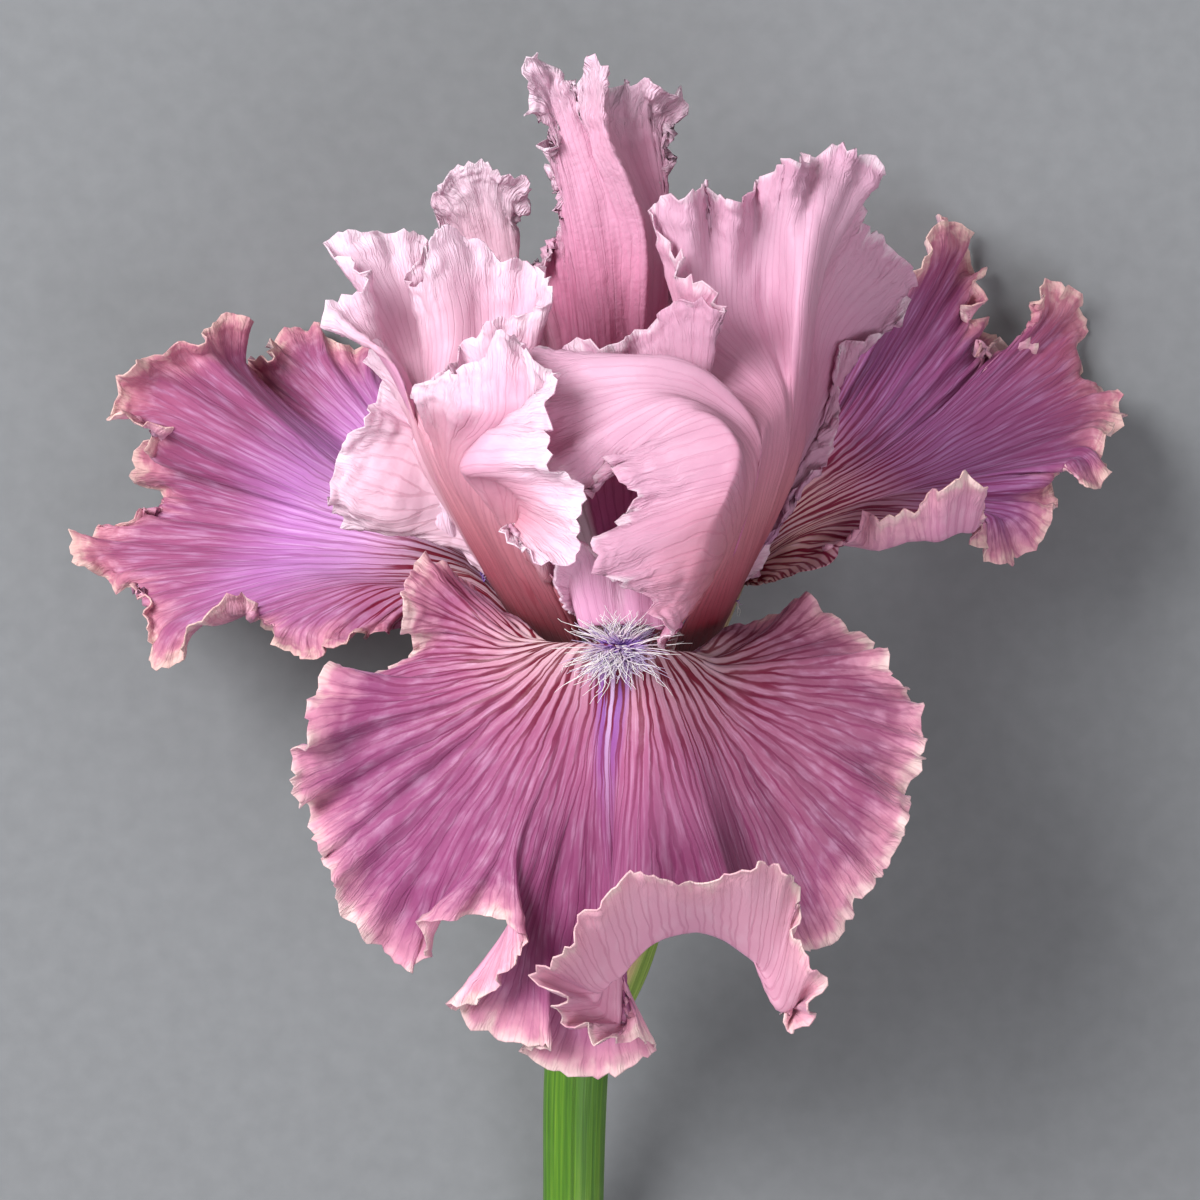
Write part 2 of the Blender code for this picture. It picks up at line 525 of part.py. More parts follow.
def build_styles(home):
    for name, (azimuth, size, lean) in STYLE_ARMS.items():
        petal = style_petal(azimuth, size, lean)
        sheet = petal_sheet(petal, np.linspace(0, 1, STYLE_COLUMNS), np.linspace(0, 1, STYLE_ROWS))
        sheet_object(f"style_{name}", sheet, "style", home, triangles=STYLE_TRIANGLES)


# Stamen: distance from the bloom's axis, height over the tube and half its thickness
STAMEN_POINTS = [
    (4.2, 0.8, 0.7), (5.0, 4, 0.7), (6.9, 7.4, 0.65), (9.2, 9.9, 0.6), (10.2, 10.6, 1.0),
    (12.5, 12, 1.3), (14.6, 13.8, 1.2), (16.2, 15, 0.8),
]
STAMEN_AZIMUTHS = {"front": 0, "left": -120, "right": 120}
STAMEN_SIDES_STEP = 0
# Points of a tube nearer than this, in metres, are one
SAME_POINT = 1e-6


def tube_object(name, points, radii, slot, home, sides_step):
    """Solid tube through points, with its own radius at each."""
    curve = bpy.data.curves.new(name, "CURVE")
    curve.dimensions = "3D"
    curve.bevel_depth = MM
    curve.bevel_resolution = sides_step
    curve.use_fill_caps = True
    line = curve.splines.new("POLY")
    line.points.add(len(points) - 1)
    for place, point, radius in zip(line.points, points, radii):
        place.co = (*(point * MM), 1)
        place.radius = radius
    tube = new_object(name, curve, slot, home)
    mesh = evaluated_mesh(tube)
    bpy.data.objects.remove(tube, do_unlink=True)
    body = bmesh.new()
    body.from_mesh(mesh)
    bmesh.ops.remove_doubles(body, verts=body.verts, dist=SAME_POINT)
    body.to_mesh(mesh)
    body.free()
    mesh.materials.clear()
    return new_object(name, mesh, slot, home)


def build_stamens(home):
    for name, azimuth in STAMEN_AZIMUTHS.items():
        points = [at(azimuth, radius, height) for radius, height, _ in STAMEN_POINTS]
        radii = [half for _, _, half in STAMEN_POINTS]
        tube_object(f"stamen_{name}", points, radii, "stamen", home, STAMEN_SIDES_STEP)


# Stem, ovary and tube: points of the middle line and the radius at each
STEM_POINTS = [
    (-4.4, -100, 4.35, 4.6), (-4.1, -82, 12.2, 4.7), (-3.6, -64.5, 19.6, 4.9),
    (-2.2, -52, 24.8, 4.9), (-0.6, -44, 28.1, 5.3), (1.4, -35, 31.7, 6.4), (3, -27, 34.9, 5.8),
    (4.2, -18, 38.4, 4.3), (4.8, -12.5, 40.6, 5.0), (5.0, -9, 42.0, 7.6),
]
STEM_RINGS = 22
STEM_SIDES_STEP = 4


def stem_line(places):
    """Middle line and radius of the stem at shares of its length."""
    points = np.array(STEM_POINTS)
    return spline(shares(points[:, :3]), points, places)


def build_stem(home):
    line = stem_line(np.linspace(0, 1, STEM_RINGS))
    tube_object("stem", line[:, :3], line[:, 3], "stem", home, STEM_SIDES_STEP)


# Each bract: middle of its wrap round the stem, half the wrap at its foot, and tip's share
SPATHES = {"spathe_outer": (-60, 84, 0.93), "spathe_inner": (118, 80, 0.86)}
SPATHE_FOOT = 0.475
# Bract's distance from the stem's middle line, from foot to tip
SPATHE_RADII = [6.6, 8.6, 9.4, 9.5, 9.3, 9.8]
# Width of the bract as a share of its foot's
SPATHE_WIDTHS = [1.0, 0.98, 0.9, 0.7, 0.4, 0.06]


def spathe_sheet(middle, half_wrap, tip, columns, rows):
    """Bract that wraps the ovary: arcs round the stem's line that narrow to a tip."""
    along = np.linspace(0, 1, rows)
    centre = stem_line(SPATHE_FOOT + (tip - SPATHE_FOOT) * along)[:, :3]
    forward = np.gradient(centre, axis=0)
    forward /= np.linalg.norm(forward, axis=1, keepdims=True)
    right = np.cross(forward, (0, 0, 1))
    right /= np.linalg.norm(right, axis=1, keepdims=True)
    up = np.cross(right, forward)
    radius = even_line([[value] for value in SPATHE_RADII], along)[:, 0]
    width = even_line([[value] for value in SPATHE_WIDTHS], along)[:, 0]
    across = np.linspace(-1, 1, columns)
    angle = np.radians(middle + half_wrap * width[:, None] * across[None, :])
    ring = np.cos(angle)[:, :, None] * up[:, None] + np.sin(angle)[:, :, None] * right[:, None]
    return centre[:, None] + ring * radius[:, None, None]


def build_spathes(home):
    for name, (middle, half_wrap, tip) in SPATHES.items():
        sheet = spathe_sheet(middle, half_wrap, tip, SPATHE_COLUMNS, SPATHE_ROWS)
        sheet_object(name, sheet, "spathe", home, triangles=SPATHE_TRIANGLES)


# Beard: a ridge along the fall's middle, from inside the throat to just over its turn
BEARD_HALF_SHARE = 0.16
# Each beard's start and end along its fall, its height over it and the length of its hairs
BEARDS = {
    "front": (0.1, 0.31, 3.5, 4.6), "left": (0.08, 0.22, 1.8, 3.2), "right": (0.06, 0.18, 1.6, 2.4),
}
BEARD_CORE = 0.8
BEARD_HAIRS = 19
# Length of the hairs deep in the throat, as a share of the outermost ones
INNER_HAIR_SHARE = 0.55
HAIR_THICKNESS = 0.42
HAIR_TIP_SHARE = 0.45
HAIR_ROOT = 0.3
# How far hairs stand from the ridge's middle, and lean sideways and towards the fall's tip
HAIR_SIDE = 0.9
HAIR_LEAN = (-0.2, 0.2)
HAIR_LEAN_AHEAD = (-0.2, 0.5)
HAIR_LENGTHS = (0.75, 1.1)
HAIR_SEED = 7


def beard_hair(hairs, root, direction, length):
    turn = direction.to_track_quat("Z", "Y").to_matrix().to_4x4()
    turn.translation = (Vector(root) + direction * (length / 2 - HAIR_ROOT)) * MM
    bmesh.ops.create_cone(
        hairs, cap_ends=True, segments=3, radius1=HAIR_THICKNESS * MM,
        radius2=HAIR_THICKNESS * HAIR_TIP_SHARE * MM, depth=length * MM, matrix=turn)


def beard_strip(fall, start, end, lift):
    """Three lines of points over a fall's middle, and the directions away from the fall."""
    rows, columns = fall.shape[:2]
    first, last = (round(share * (rows - 1)) for share in (start, end))
    middle = (columns - 1) / 2
    half = BEARD_HALF_SHARE * columns / 2
    picked = [round(middle + step * half) for step in (-1, 0, 1)]
    rising = sheet_normals(fall)[first:last + 1:2][:, picked]
    return fall[first:last + 1:2][:, picked] + rising * lift, rising


def grow_hairs(hairs, strip, rising, hair_length, random):
    """Sets hairs on the ridge, from deep in the throat to its end."""
    for number in range(BEARD_HAIRS):
        along = (number + 0.5) / BEARD_HAIRS * (len(strip) - 1)
        row, share = int(along), along % 1
        side = random.uniform(-HAIR_SIDE, HAIR_SIDE)
        ridge = strip[row] * (1 - share) + strip[row + 1] * share
        edge = ridge[2] if side > 0 else ridge[0]
        root = ridge[1] + (edge - ridge[1]) * abs(side)
        across = Vector(ridge[2] - ridge[0]).normalized()
        ahead = Vector(strip[row + 1, 1] - strip[row, 1]).normalized()
        lean = across * (side + random.uniform(*HAIR_LEAN)) + ahead * random.uniform(*HAIR_LEAN_AHEAD)
        direction = (Vector(rising[row, 1]) + lean).normalized()
        grown = INNER_HAIR_SHARE + (1 - INNER_HAIR_SHARE) * number / BEARD_HAIRS
        beard_hair(hairs, root, direction, hair_length * grown * random.uniform(*HAIR_LENGTHS))


def fuse(core, tool):
    join = core.modifiers.new("join", "BOOLEAN")
    join.operation = "UNION"
    join.solver = "EXACT"
    join.use_self = True
    join.object = tool
    apply_modifiers(core)
    bpy.data.objects.remove(tool, do_unlink=True)


def build_beard(name, strip, rising, hair_length, home, random):
    """Ridge of short hairs that stands on a fall's middle, fused to one body."""
    core = sheet_object(name, strip, "beard", home, thickness=BEARD_CORE)
    hairs = bmesh.new()
    grow_hairs(hairs, strip, rising, hair_length, random)
    mesh = bpy.data.meshes.new(f"{name}_hairs")
    hairs.to_mesh(mesh)
    hairs.free()
    tool = bpy.data.objects.new(f"{name}_hairs", mesh)
    home.objects.link(tool)
    fuse(core, tool)


def build_beards(sheets, home):
    random = Random(HAIR_SEED)
    for side, (start, end, lift, hair_length) in BEARDS.items():
        strip, rising = beard_strip(sheets[f"fall_{side}"], start, end, lift)
        build_beard(f"beard_{side}", strip, rising, hair_length, home, random)


def centre_on_base():
    """Moves the flower so that the middle of its base is the world's origin."""
    points = np.array([v.co for obj in bpy.data.objects for v in obj.data.vertices])
    low, high = points.min(axis=0), points.max(axis=0)
    shift = Vector((-(low[0] + high[0]) / 2, -(low[1] + high[1]) / 2, -low[2]))
    for obj in bpy.data.objects:
        for vertex in obj.data.vertices:
            vertex.co += shift
    return shift


def remove_old_objects():
    for obj in list(bpy.data.objects):
        bpy.data.objects.remove(obj, do_unlink=True)


def main():
    remove_old_objects()
    home = bpy.data.collections.new("bearded_iris")
    bpy.context.scene.collection.children.link(home)
    build_stem(home)
    build_spathes(home)
    sheets = build_petals(home)
    build_beards(sheets, home)
    build_styles(home)
    build_stamens(home)
    return centre_on_base()


SHIFT = main()
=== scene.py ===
"""Looks of the bearded iris: fine ruffled petals, hairy beards, style arms, bracts and stem.

Everything is drawn in millimetres in the flower's own frame, as the solids are: X to the
right, Y along the stem towards the top of the bloom, Z up from the surface it lies on.
"""
import math
from random import Random

import bmesh
import bpy
import numpy as np
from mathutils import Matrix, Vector, noise


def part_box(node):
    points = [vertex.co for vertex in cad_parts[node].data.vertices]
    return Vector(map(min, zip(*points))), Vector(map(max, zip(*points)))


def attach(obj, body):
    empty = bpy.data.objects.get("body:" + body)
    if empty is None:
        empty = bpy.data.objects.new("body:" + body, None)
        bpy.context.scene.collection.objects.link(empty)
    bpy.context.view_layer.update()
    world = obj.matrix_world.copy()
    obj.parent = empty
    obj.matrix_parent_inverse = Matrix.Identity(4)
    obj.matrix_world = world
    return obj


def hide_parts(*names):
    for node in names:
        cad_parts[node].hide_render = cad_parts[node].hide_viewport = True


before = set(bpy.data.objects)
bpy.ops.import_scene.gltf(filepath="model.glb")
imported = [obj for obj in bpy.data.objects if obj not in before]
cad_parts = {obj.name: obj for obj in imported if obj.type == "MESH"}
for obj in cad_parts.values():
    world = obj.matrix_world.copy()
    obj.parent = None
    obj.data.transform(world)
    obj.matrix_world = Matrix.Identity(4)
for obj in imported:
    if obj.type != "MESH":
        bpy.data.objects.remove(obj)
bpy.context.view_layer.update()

MM = 0.001
LOWEST_SHEET_HEIGHT = 0.42
# A petal that touches the surface bends over this height, and no more above this many of it
SOFTNESS = 1.5
SOFT_REACH = 3

# The bloom leans back on its stem: its axis rises from the surface by this angle
AXIS_TILT = math.radians(21.5)
JUNCTION = np.array([5.0, -9.0, 42.0])
AXIS = np.array([0.0, math.cos(AXIS_TILT), math.sin(AXIS_TILT)])
# A petal's claw: distance from the axis, degrees to each side, and height over the tube's
# rim, which it reaches down into so that the petal grows out of it
CLAW_RADIUS = 6.5
CLAW_SPREAD = 23
CLAW_HEIGHT = -0.8

# Rows of a petal from claw to margin, as shares of its length
ROW_KNOTS = (0.0, 0.12, 0.25, 0.5, 0.78, 1.0)
BELLY_SHARE = 0.47
BEND_SHARE = 0.72
BELLY_SMOOTHING = 0.07
BEND_SMOOTHING = 0.028

WAVE_LENGTH = 13.0
WAVE_HEIGHT = 0.8
WAVE_REACH = 8.0
# How much and how slowly the waves' spacing wanders
WAVE_DRIFT = 1.3
WAVE_DRIFT_LENGTH = 17

# Grid of a fine petal: its columns' spacing along the margin, its rows, and how much
# closer the rows lie towards the margin
COLUMN_STEP = 0.85
PETAL_ROWS = 62
MARGIN_CROWDING = 1.5
FINE_THICKNESS = 0.24

# Waves of a margin: wave length, height and reach into the blade
RUFFLES = {
    "fall": [(12.0, 1.3, 13.0), (6.0, 1.1, 5.5), (3.1, 0.45, 2.6)],
    "standard": [(10.0, 1.1, 9.0), (4.6, 0.9, 4.5), (2.5, 0.4, 2.5)],
    "style": [(4.0, 0.4, 3.0), (2.0, 0.25, 1.6)],
}
# Soft folds that run from the haft to the margin: how many, and their height
PLEATS = {"fall": (7, 0.35), "standard": (7, 0.3), "style": (4, 0.2)}
# Scallops and teeth of a margin: length along it, depth and reach into the blade
TEETH = {
    "fall": [(7.0, 1.0, 4.5), (2.6, 1.0, 1.9)],
    "standard": [(7.5, 1.7, 5.0), (2.5, 1.1, 1.9)],
    "style": [(1.6, 0.6, 1.0)],
}
# Drift of a wave's phase: the lengths of its three swings, their least and greatest share,
# and the range of their phases
DRIFT_STRETCHES = (1.0, 1.7, 2.9)
DRIFT_SHARES = (0.5, 1.1)
ANY_PHASE = 6.3
# Wings of petals, tinted apart from the rest of the blade: where across the blade they end and begin.
# The near-white wings of the left and back standards are painted light. The dusty wing of the right
# standard and the darker right side of the front fall are painted shade. The left fall's lower side is
# tinted darker magenta.
WINGS = {
    "standard_left": (0.24, 0.12), "standard_right": (0.74, 0.84), "standard_back": (0.58, 0.64),
    "fall_front": (0.62, 0.8), "fall_left": (0.7, 0.84),
}
NO_WING = (2, 3)
# Crumples, as in thin tissue: size of a crease, height at the margin and inside, and reach
CRUMPLES = {
    "fall": (3.0, 0.4, 0.04, 4.0),
    "standard": (3.0, 0.65, 0.12, 7.0),
    "standard_back": (3.4, 0.85, 0.4, 11.0),
    "style": (2.0, 0.25, 0.05, 3.0),
}
# Swell of the ruffles: their middle height, its change, and the change's length in waves
RUFFLE_SWELL = (0.65, 0.35, 2.3)
# Second, finer tooth in each tooth: its height and how many there are
FINER_TEETH = (0.35, 2.2)
# Unevenness of the teeth: middle depth, its change, and the change's length in teeth
TOOTH_SWELL = (0.55, 0.45, 1.7)
# Rows from the margin inward that show which way its teeth point
TOOTH_ROWS = 5
# How far the pleats wander across the blade, and where along it they rise
PLEAT_DRIFT = (1.6, 0.07)
PLEAT_RISE = (0.25, 0.5)
# Finer creases in each crease of a crumple
FINER_CREASES = 2.1
# Stretches at the start and end of a margin, beside the claw, over which its crinkles die
# down, and the share of them that is left there
CALM_ENDS = {"fall": (17, 17), "fall_right": (34, 17), "standard": (12, 12), "style": (4, 4)}
CALMEST = 0.1

# Veins at the claw, and the spacing at which they fork
FIRST_VEINS = 9
VEIN_SPACING = 1.45
# Colours change with the distance from the claw, in shares of this length
REACH_UNIT = 100

# Upward direction that no tube's line runs along
TUBE_UPRIGHT = (0.03, 0, 1)

# Colour map of a piece, with its upper side in one half and its under side in the other
MAP_NAME = "OFBake"
MAP_HALF = 0.49
UNDER_HALF = 0.5
RIM_SLIVER = 0.002


def outward(azimuth):
    """Direction away from the bloom's axis; azimuth 0 faces up, 90 degrees faces right."""
    angle = math.radians(azimuth)
    return np.array([
        math.sin(angle),
        -math.cos(angle) * math.sin(AXIS_TILT),
        math.cos(angle) * math.cos(AXIS_TILT),
    ])


def at(azimuth, radius, height):
    """Point of the bloom by azimuth, distance from its axis and height over the tube."""
    return JUNCTION + outward(azimuth) * radius + AXIS * height


def claw_line(azimuth):
    """Points from side to side of a petal's claw."""
    return [at(azimuth + side * CLAW_SPREAD, CLAW_RADIUS, CLAW_HEIGHT) for side in (-1, 0, 1)]


def spline(knots, values, places):
    """Natural cubic spline through rows of values, read at the given places."""
    knots = np.asarray(knots, float)
    values = np.asarray(values, float)
    count = len(knots)
    gap = np.diff(knots)
    slope = np.diff(values, axis=0) / gap[:, None]
    matrix = np.eye(count)
    right = np.zeros_like(values)
    for i in range(1, count - 1):
        matrix[i, i - 1:i + 2] = gap[i - 1], 2 * (gap[i - 1] + gap[i]), gap[i]
        right[i] = 6 * (slope[i] - slope[i - 1])
    bend = np.linalg.solve(matrix, right)
    cell = np.clip(np.searchsorted(knots, places) - 1, 0, count - 2)
    width = gap[cell][:, None]
    after = (places - knots[cell])[:, None]
    before = (knots[cell + 1] - places)[:, None]
    return (
        (bend[cell] * before**3 + bend[cell + 1] * after**3) / (6 * width)
        + (values[cell] / width - bend[cell] * width / 6) * before
        + (values[cell + 1] / width - bend[cell + 1] * width / 6) * after
    )


def steady(knots, values, places):
    """Smooth curve through rows of values that never swings past them."""
    knots = np.asarray(knots, float)
    gap = np.diff(knots)[:, None]
    slope = np.diff(values, axis=0) / gap
    before, after = slope[:-1], slope[1:]
    turning = before * after <= 0
    total = np.where(turning, 1, before + after)
    tangent = np.concatenate([slope[:1], np.where(turning, 0, 2 * before * after / total), slope[-1:]])
    cell = np.clip(np.searchsorted(knots, places) - 1, 0, len(knots) - 2)
    width = gap[cell]
    share = (places - knots[cell])[:, None] / width
    rise = share * share * (3 - 2 * share)
    return (
        values[cell] * (1 - rise) + values[cell + 1] * rise
        + tangent[cell] * width * share * (1 - share)**2
        - tangent[cell + 1] * width * share**2 * (1 - share)
    )


def shares(points):
    """Share of a line's length at each of its points, from 0 to 1."""
    steps = np.linalg.norm(np.diff(points, axis=0), axis=1)
    return np.concatenate([[0], np.cumsum(steps)]) / steps.sum()


def even_line(points, places):
    """Smooth line through points that are spaced evenly in share."""
    points = np.asarray(points, float)
    return spline(np.linspace(0, 1, len(points)), points, places)


def smoothed(share, points, reach):
    """Running mean of a line's points, mirrored past both ends so that they stay put."""
    share = np.concatenate([-share[:0:-1], share, 2 - share[-2::-1]])
    points = np.concatenate([2 * points[0] - points[:0:-1], points, 2 * points[-1] - points[-2::-1]])
    weight = np.exp(-((share[:, None] - share[None, :]) / reach)**2 / 2)
    weight = weight * np.gradient(share)[None, :]
    mean = weight @ points / weight.sum(axis=1, keepdims=True)
    count = (len(share) + 2) // 3
    return mean[count - 1:2 * count - 1]


def known_line(points, share, places):
    """Smooth line through points that are given by their numbers along the margin."""
    known = sorted(points)
    return spline(share[known], [points[index] for index in known], places)


def blade_lines(petal, margin, share):
    """Belly and bend of a petal, set by its throat, spine and margin, or by its own points."""
    throat = even_line(petal["throat"], share)
    inner = known_line(petal["spine"], share, share) if "spine" in petal else throat
    middle = inner + BEND_SHARE * (smoothed(share, margin, BELLY_SMOOTHING) - inner)
    belly = throat + BELLY_SHARE * (middle - throat)
    bend = inner + BEND_SHARE * (smoothed(share, margin, BEND_SMOOTHING) - inner)
    for index, point in petal.get("bend", {}).items():
        bend[index] = point
    if "belly" in petal:
        given = slice(min(petal["belly"]), max(petal["belly"]) + 1)
        belly[given] = known_line(petal["belly"], share, share[given])
    return belly, bend


def petal_sheet(petal, columns_at, rows_at):
    """Grid of points over a petal, row 0 at the claw and the last row at the margin."""
    margin = np.array(petal["margin"], float)
    share = shares(margin)
    belly, bend = blade_lines(petal, margin, share)
    lines = [even_line(petal[name], columns_at) for name in ("claw", "haft", "throat")]
    lines += [spline(share, line, columns_at) for line in (belly, bend, margin)]
    stack = np.array(lines).reshape(len(lines), -1)
    return steady(ROW_KNOTS, stack, rows_at).reshape(len(rows_at), len(columns_at), 3)


def sheet_normals(sheet):
    normal = np.cross(np.gradient(sheet, axis=0), np.gradient(sheet, axis=1))
    return normal / np.maximum(np.linalg.norm(normal, axis=2, keepdims=True), 1e-9)


def lifted(sheet, height):
    """Moves each point of a sheet along the sheet's normal there."""
    return sheet + sheet_normals(sheet) * height[:, :, None]


def waved(sheet, height, phase):
    """Adds the margin's regular waves, which die away into the blade."""
    along, inward = margin_length(sheet), distance_inward(sheet)
    shift = WAVE_DRIFT * np.sin(along / WAVE_DRIFT_LENGTH + phase)
    wave = np.sin(2 * math.pi * along / WAVE_LENGTH + phase + shift)
    return lifted(sheet, height * wave[None, :] * np.exp(-inward / WAVE_REACH))


def on_surface(sheet):
    """Eases low parts of a sheet to rest on the surface, as a soft petal does."""
    above = sheet[:, :, 2] - LOWEST_SHEET_HEIGHT
    eased = SOFTNESS * np.logaddexp(0, above / SOFTNESS)
    step = SOFTNESS * math.log1p(math.exp(-SOFT_REACH))
    settled = np.where(above < SOFT_REACH * SOFTNESS, eased - step, above)
    sheet[:, :, 2] = LOWEST_SHEET_HEIGHT + np.maximum(settled, 0)
    return sheet


FALL_FRONT = {
    "margin": [
        (-11.5, 2.6, 63), (-18, 6, 57.5), (-22.5, 10.8, 55), (-27.3, 11.7, 63), (-29.4, 6.8, 70),
        (-30, 1.5, 66), (-28.2, -2.3, 60), (-33, -4.8, 58), (-37.2, -8.4, 58), (-39.8, -5.1, 66),
        (-43.8, -12.8, 72), (-45.6, -20.3, 68), (-44.3, -26.3, 62), (-40.5, -32.3, 66),
        (-39, -39, 62), (-33, -45.8, 58), (-27.8, -48, 56), (-25.2, -42.8, 66), (-18.3, -41.3, 67),
        (-12, -43.5, 69), (-15, -51.8, 66), (-21.6, -55.2, 60), (-15, -59.3, 57), (-7.8, -60.3, 61),
        (-12, -62, 54), (-0.3, -65.4, 54), (8.3, -61, 58), (1.8, -59, 66), (-6, -54.8, 74),
        (-7.5, -50, 80), (-2.3, -40.5, 86), (5.4, -33.8, 89), (14, -35.2, 85), (22.5, -32.4, 86),
        (29, -37.4, 78), (30, -44.3, 76), (33, -52.8, 73), (28, -58, 65), (30.5, -46.2, 62),
        (34.8, -45.3, 58), (37.5, -39.8, 64), (42, -34.2, 60), (45.8, -28.5, 66), (46.8, -22.5, 60),
        (48, -15.8, 64), (46.8, -9, 60), (42.8, -4.5, 63), (39.8, 0, 58), (36, 3.8, 58),
        (30, 5.9, 55), (24, 4.5, 54), (19.5, 0.8, 57), (15, -0.6, 62),
    ],
    "bend": {
        27: (4, -56, 61), 28: (0, -54.5, 64), 29: (-1, -52.5, 67), 30: (2, -50.5, 70),
        31: (7.5, -45, 72), 32: (15, -43, 70), 33: (21.8, -46.5, 68), 34: (25, -51, 67),
        35: (26.5, -54.5, 66), 36: (27.5, -54, 64), 37: (27, -50.5, 62),
    },
    "throat": [(-8, -0.5, 70), (3, -0.5, 77), (13, -2, 70)],
    "haft": [(-0.5, -9, 59), (4, -9.5, 61.5), (8.5, -9, 59)],
    "azimuth": 0,
}

FALL_LEFT = {
    "margin": [
        (-25.5, 30, 22), (-28.5, 37.5, 14), (-33.8, 44.3, 6), (-39.8, 45.3, 8), (-45.8, 48, 1),
        (-50.4, 46.8, 4), (-50.7, 43.5, 12), (-55.2, 41.7, 4), (-54, 38.4, -1), (-56.7, 44.3, 10),
        (-56.3, 50, 20), (-60, 48.3, 21), (-63.8, 45, 26), (-69, 43.2, 27), (-72.9, 40.8, 31),
        (-73.8, 36.8, 29), (-75, 33.3, 31), (-69.8, 33.3, 29), (-71, 27.8, 14), (-70.2, 23.3, 8),
        (-67.3, 20.2, 12), (-70.5, 20.2, 16), (-75, 17.4, 16), (-79.8, 16.2, 18),
        (-79.2, 11.7, 23), (-76.5, 9.3, 21), (-71.3, 7.8, 26), (-69, 2.3, 34), (-67.8, -3.6, 32),
        (-63, -1.5, 40), (-59.3, 4.8, 46), (-53.3, 6, 44), (-50.7, 1.5, 40), (-46.5, -2.6, 42),
        (-41.3, -3, 46), (-39, 0, 50), (-33.8, 0.8, 46), (-28.5, 2.3, 42), (-24, 5.3, 40),
    ],
    "belly": {
        0: (-20.8, 22.2, 24.9), 4: (-30.4, 27.5, 19.6), 8: (-35.1, 26.3, 19.9),
        12: (-40.5, 25.7, 25), 16: (-43, 22.4, 26.5), 20: (-43.4, 16.5, 26), 24: (-44.5, 12.5, 29.5),
        28: (-41, 9.5, 35.5), 32: (-33.5, 8.3, 39.5), 36: (-25.5, 6.8, 40.5), 38: (-21.3, 5.4, 40.3),
    },
    "spine": {
        0: (-24, 27, 24), 4: (-42, 38, 14), 8: (-46, 32, 7), 11: (-53, 35, 14), 14: (-60, 35, 19),
        16: (-60, 31, 20), 18: (-57, 25.5, 12), 20: (-57, 20, 14), 24: (-67, 14, 21), 28: (-61, 6, 35),
        33: (-45, 4.5, 43), 38: (-21.5, 4.3, 40.5),
    },
    "throat": [(-17, 17, 27), (-22, 13, 34), (-18.3, 5.4, 40.8)],
    "haft": [(-6.5, 1.5, 32), (-8, -1, 37), (-8, -3, 42)],
    "azimuth": -120,
}

FALL_RIGHT = {
    "margin": [
        (22.4, 8.5, 36.8), (27, 9, 42.4), (33, 11.3, 48), (36.3, 13.5, 46), (39.5, 18, 50),
        (43, 18.6, 52), (46, 18.5, 53), (50, 22, 56), (53.5, 24, 58), (56.8, 23.6, 55),
        (57.4, 17.5, 45), (60.8, 11.6, 36), (66.5, 14.4, 34), (69.6, 20.9, 32), (68.6, 26, 26),
        (71.6, 25.7, 32), (73.5, 22.4, 36), (77.3, 27.2, 26), (76.8, 29.7, 22), (79.8, 34.8, 12),
        (78.9, 37.2, 7), (75.9, 39.3, 1), (74.1, 44.1, -1.5), (75.3, 51, 1), (71.3, 54.9, 6),
        (67.8, 52.5, 10), (67.2, 48.2, 7), (62.4, 42.9, 10), (57.2, 44.4, 13), (61.2, 44.9, 8),
        (61.2, 47.7, 1), (57.9, 48.5, 5), (55.8, 51, 10), (60, 54.9, 5), (59, 59, 0),
        (55.2, 64.2, 3), (52.8, 65.3, 8), (50, 59.7, 16), (45, 51, 20), (39, 46.5, 20),
        (35.3, 42, 20),
    ],
    "belly": {
        0: (21.2, 8, 36.2), 3: (27.5, 12.8, 39.2), 6: (34, 16, 42), 9: (39, 18.5, 41.5),
        12: (43, 21, 38), 16: (47, 22.5, 31.5), 19: (49, 24.5, 26), 24: (48.5, 29.5, 20.7),
        30: (43, 30, 21), 36: (39.5, 35.6, 19.7), 40: (31, 29.2, 23.3),
    },
    "bend": {
        4: (38.5, 13.8, 46), 5: (42.5, 14, 46.5), 6: (46.5, 14.4, 47), 7: (50, 14.8, 47.5),
        8: (53, 15.6, 47), 9: (55.5, 16.5, 45), 10: (57, 17.5, 42), 11: (59.5, 18.5, 38),
        12: (62, 19.5, 35.5),
    },
    "spine": {
        0: (21.6, 8.2, 36.6), 3: (30, 13.2, 41.8), 5: (38.5, 17, 44), 9: (50, 20.3, 46),
        12: (58, 20, 36), 16: (66, 32, 26), 20: (70, 38, 12), 24: (68, 48, 6), 28: (57, 36, 13.5),
        32: (54, 44, 14), 35: (54, 56, 8), 38: (46, 46, 19), 40: (36, 37, 21),
    },
    "throat": [(19.6, 7.2, 36.6), (25.5, 14.5, 34), (27, 22, 27)],
    "haft": [(16, -3, 42), (17.5, -1, 37.5), (15, 1.5, 32)],
    "azimuth": 120,
}

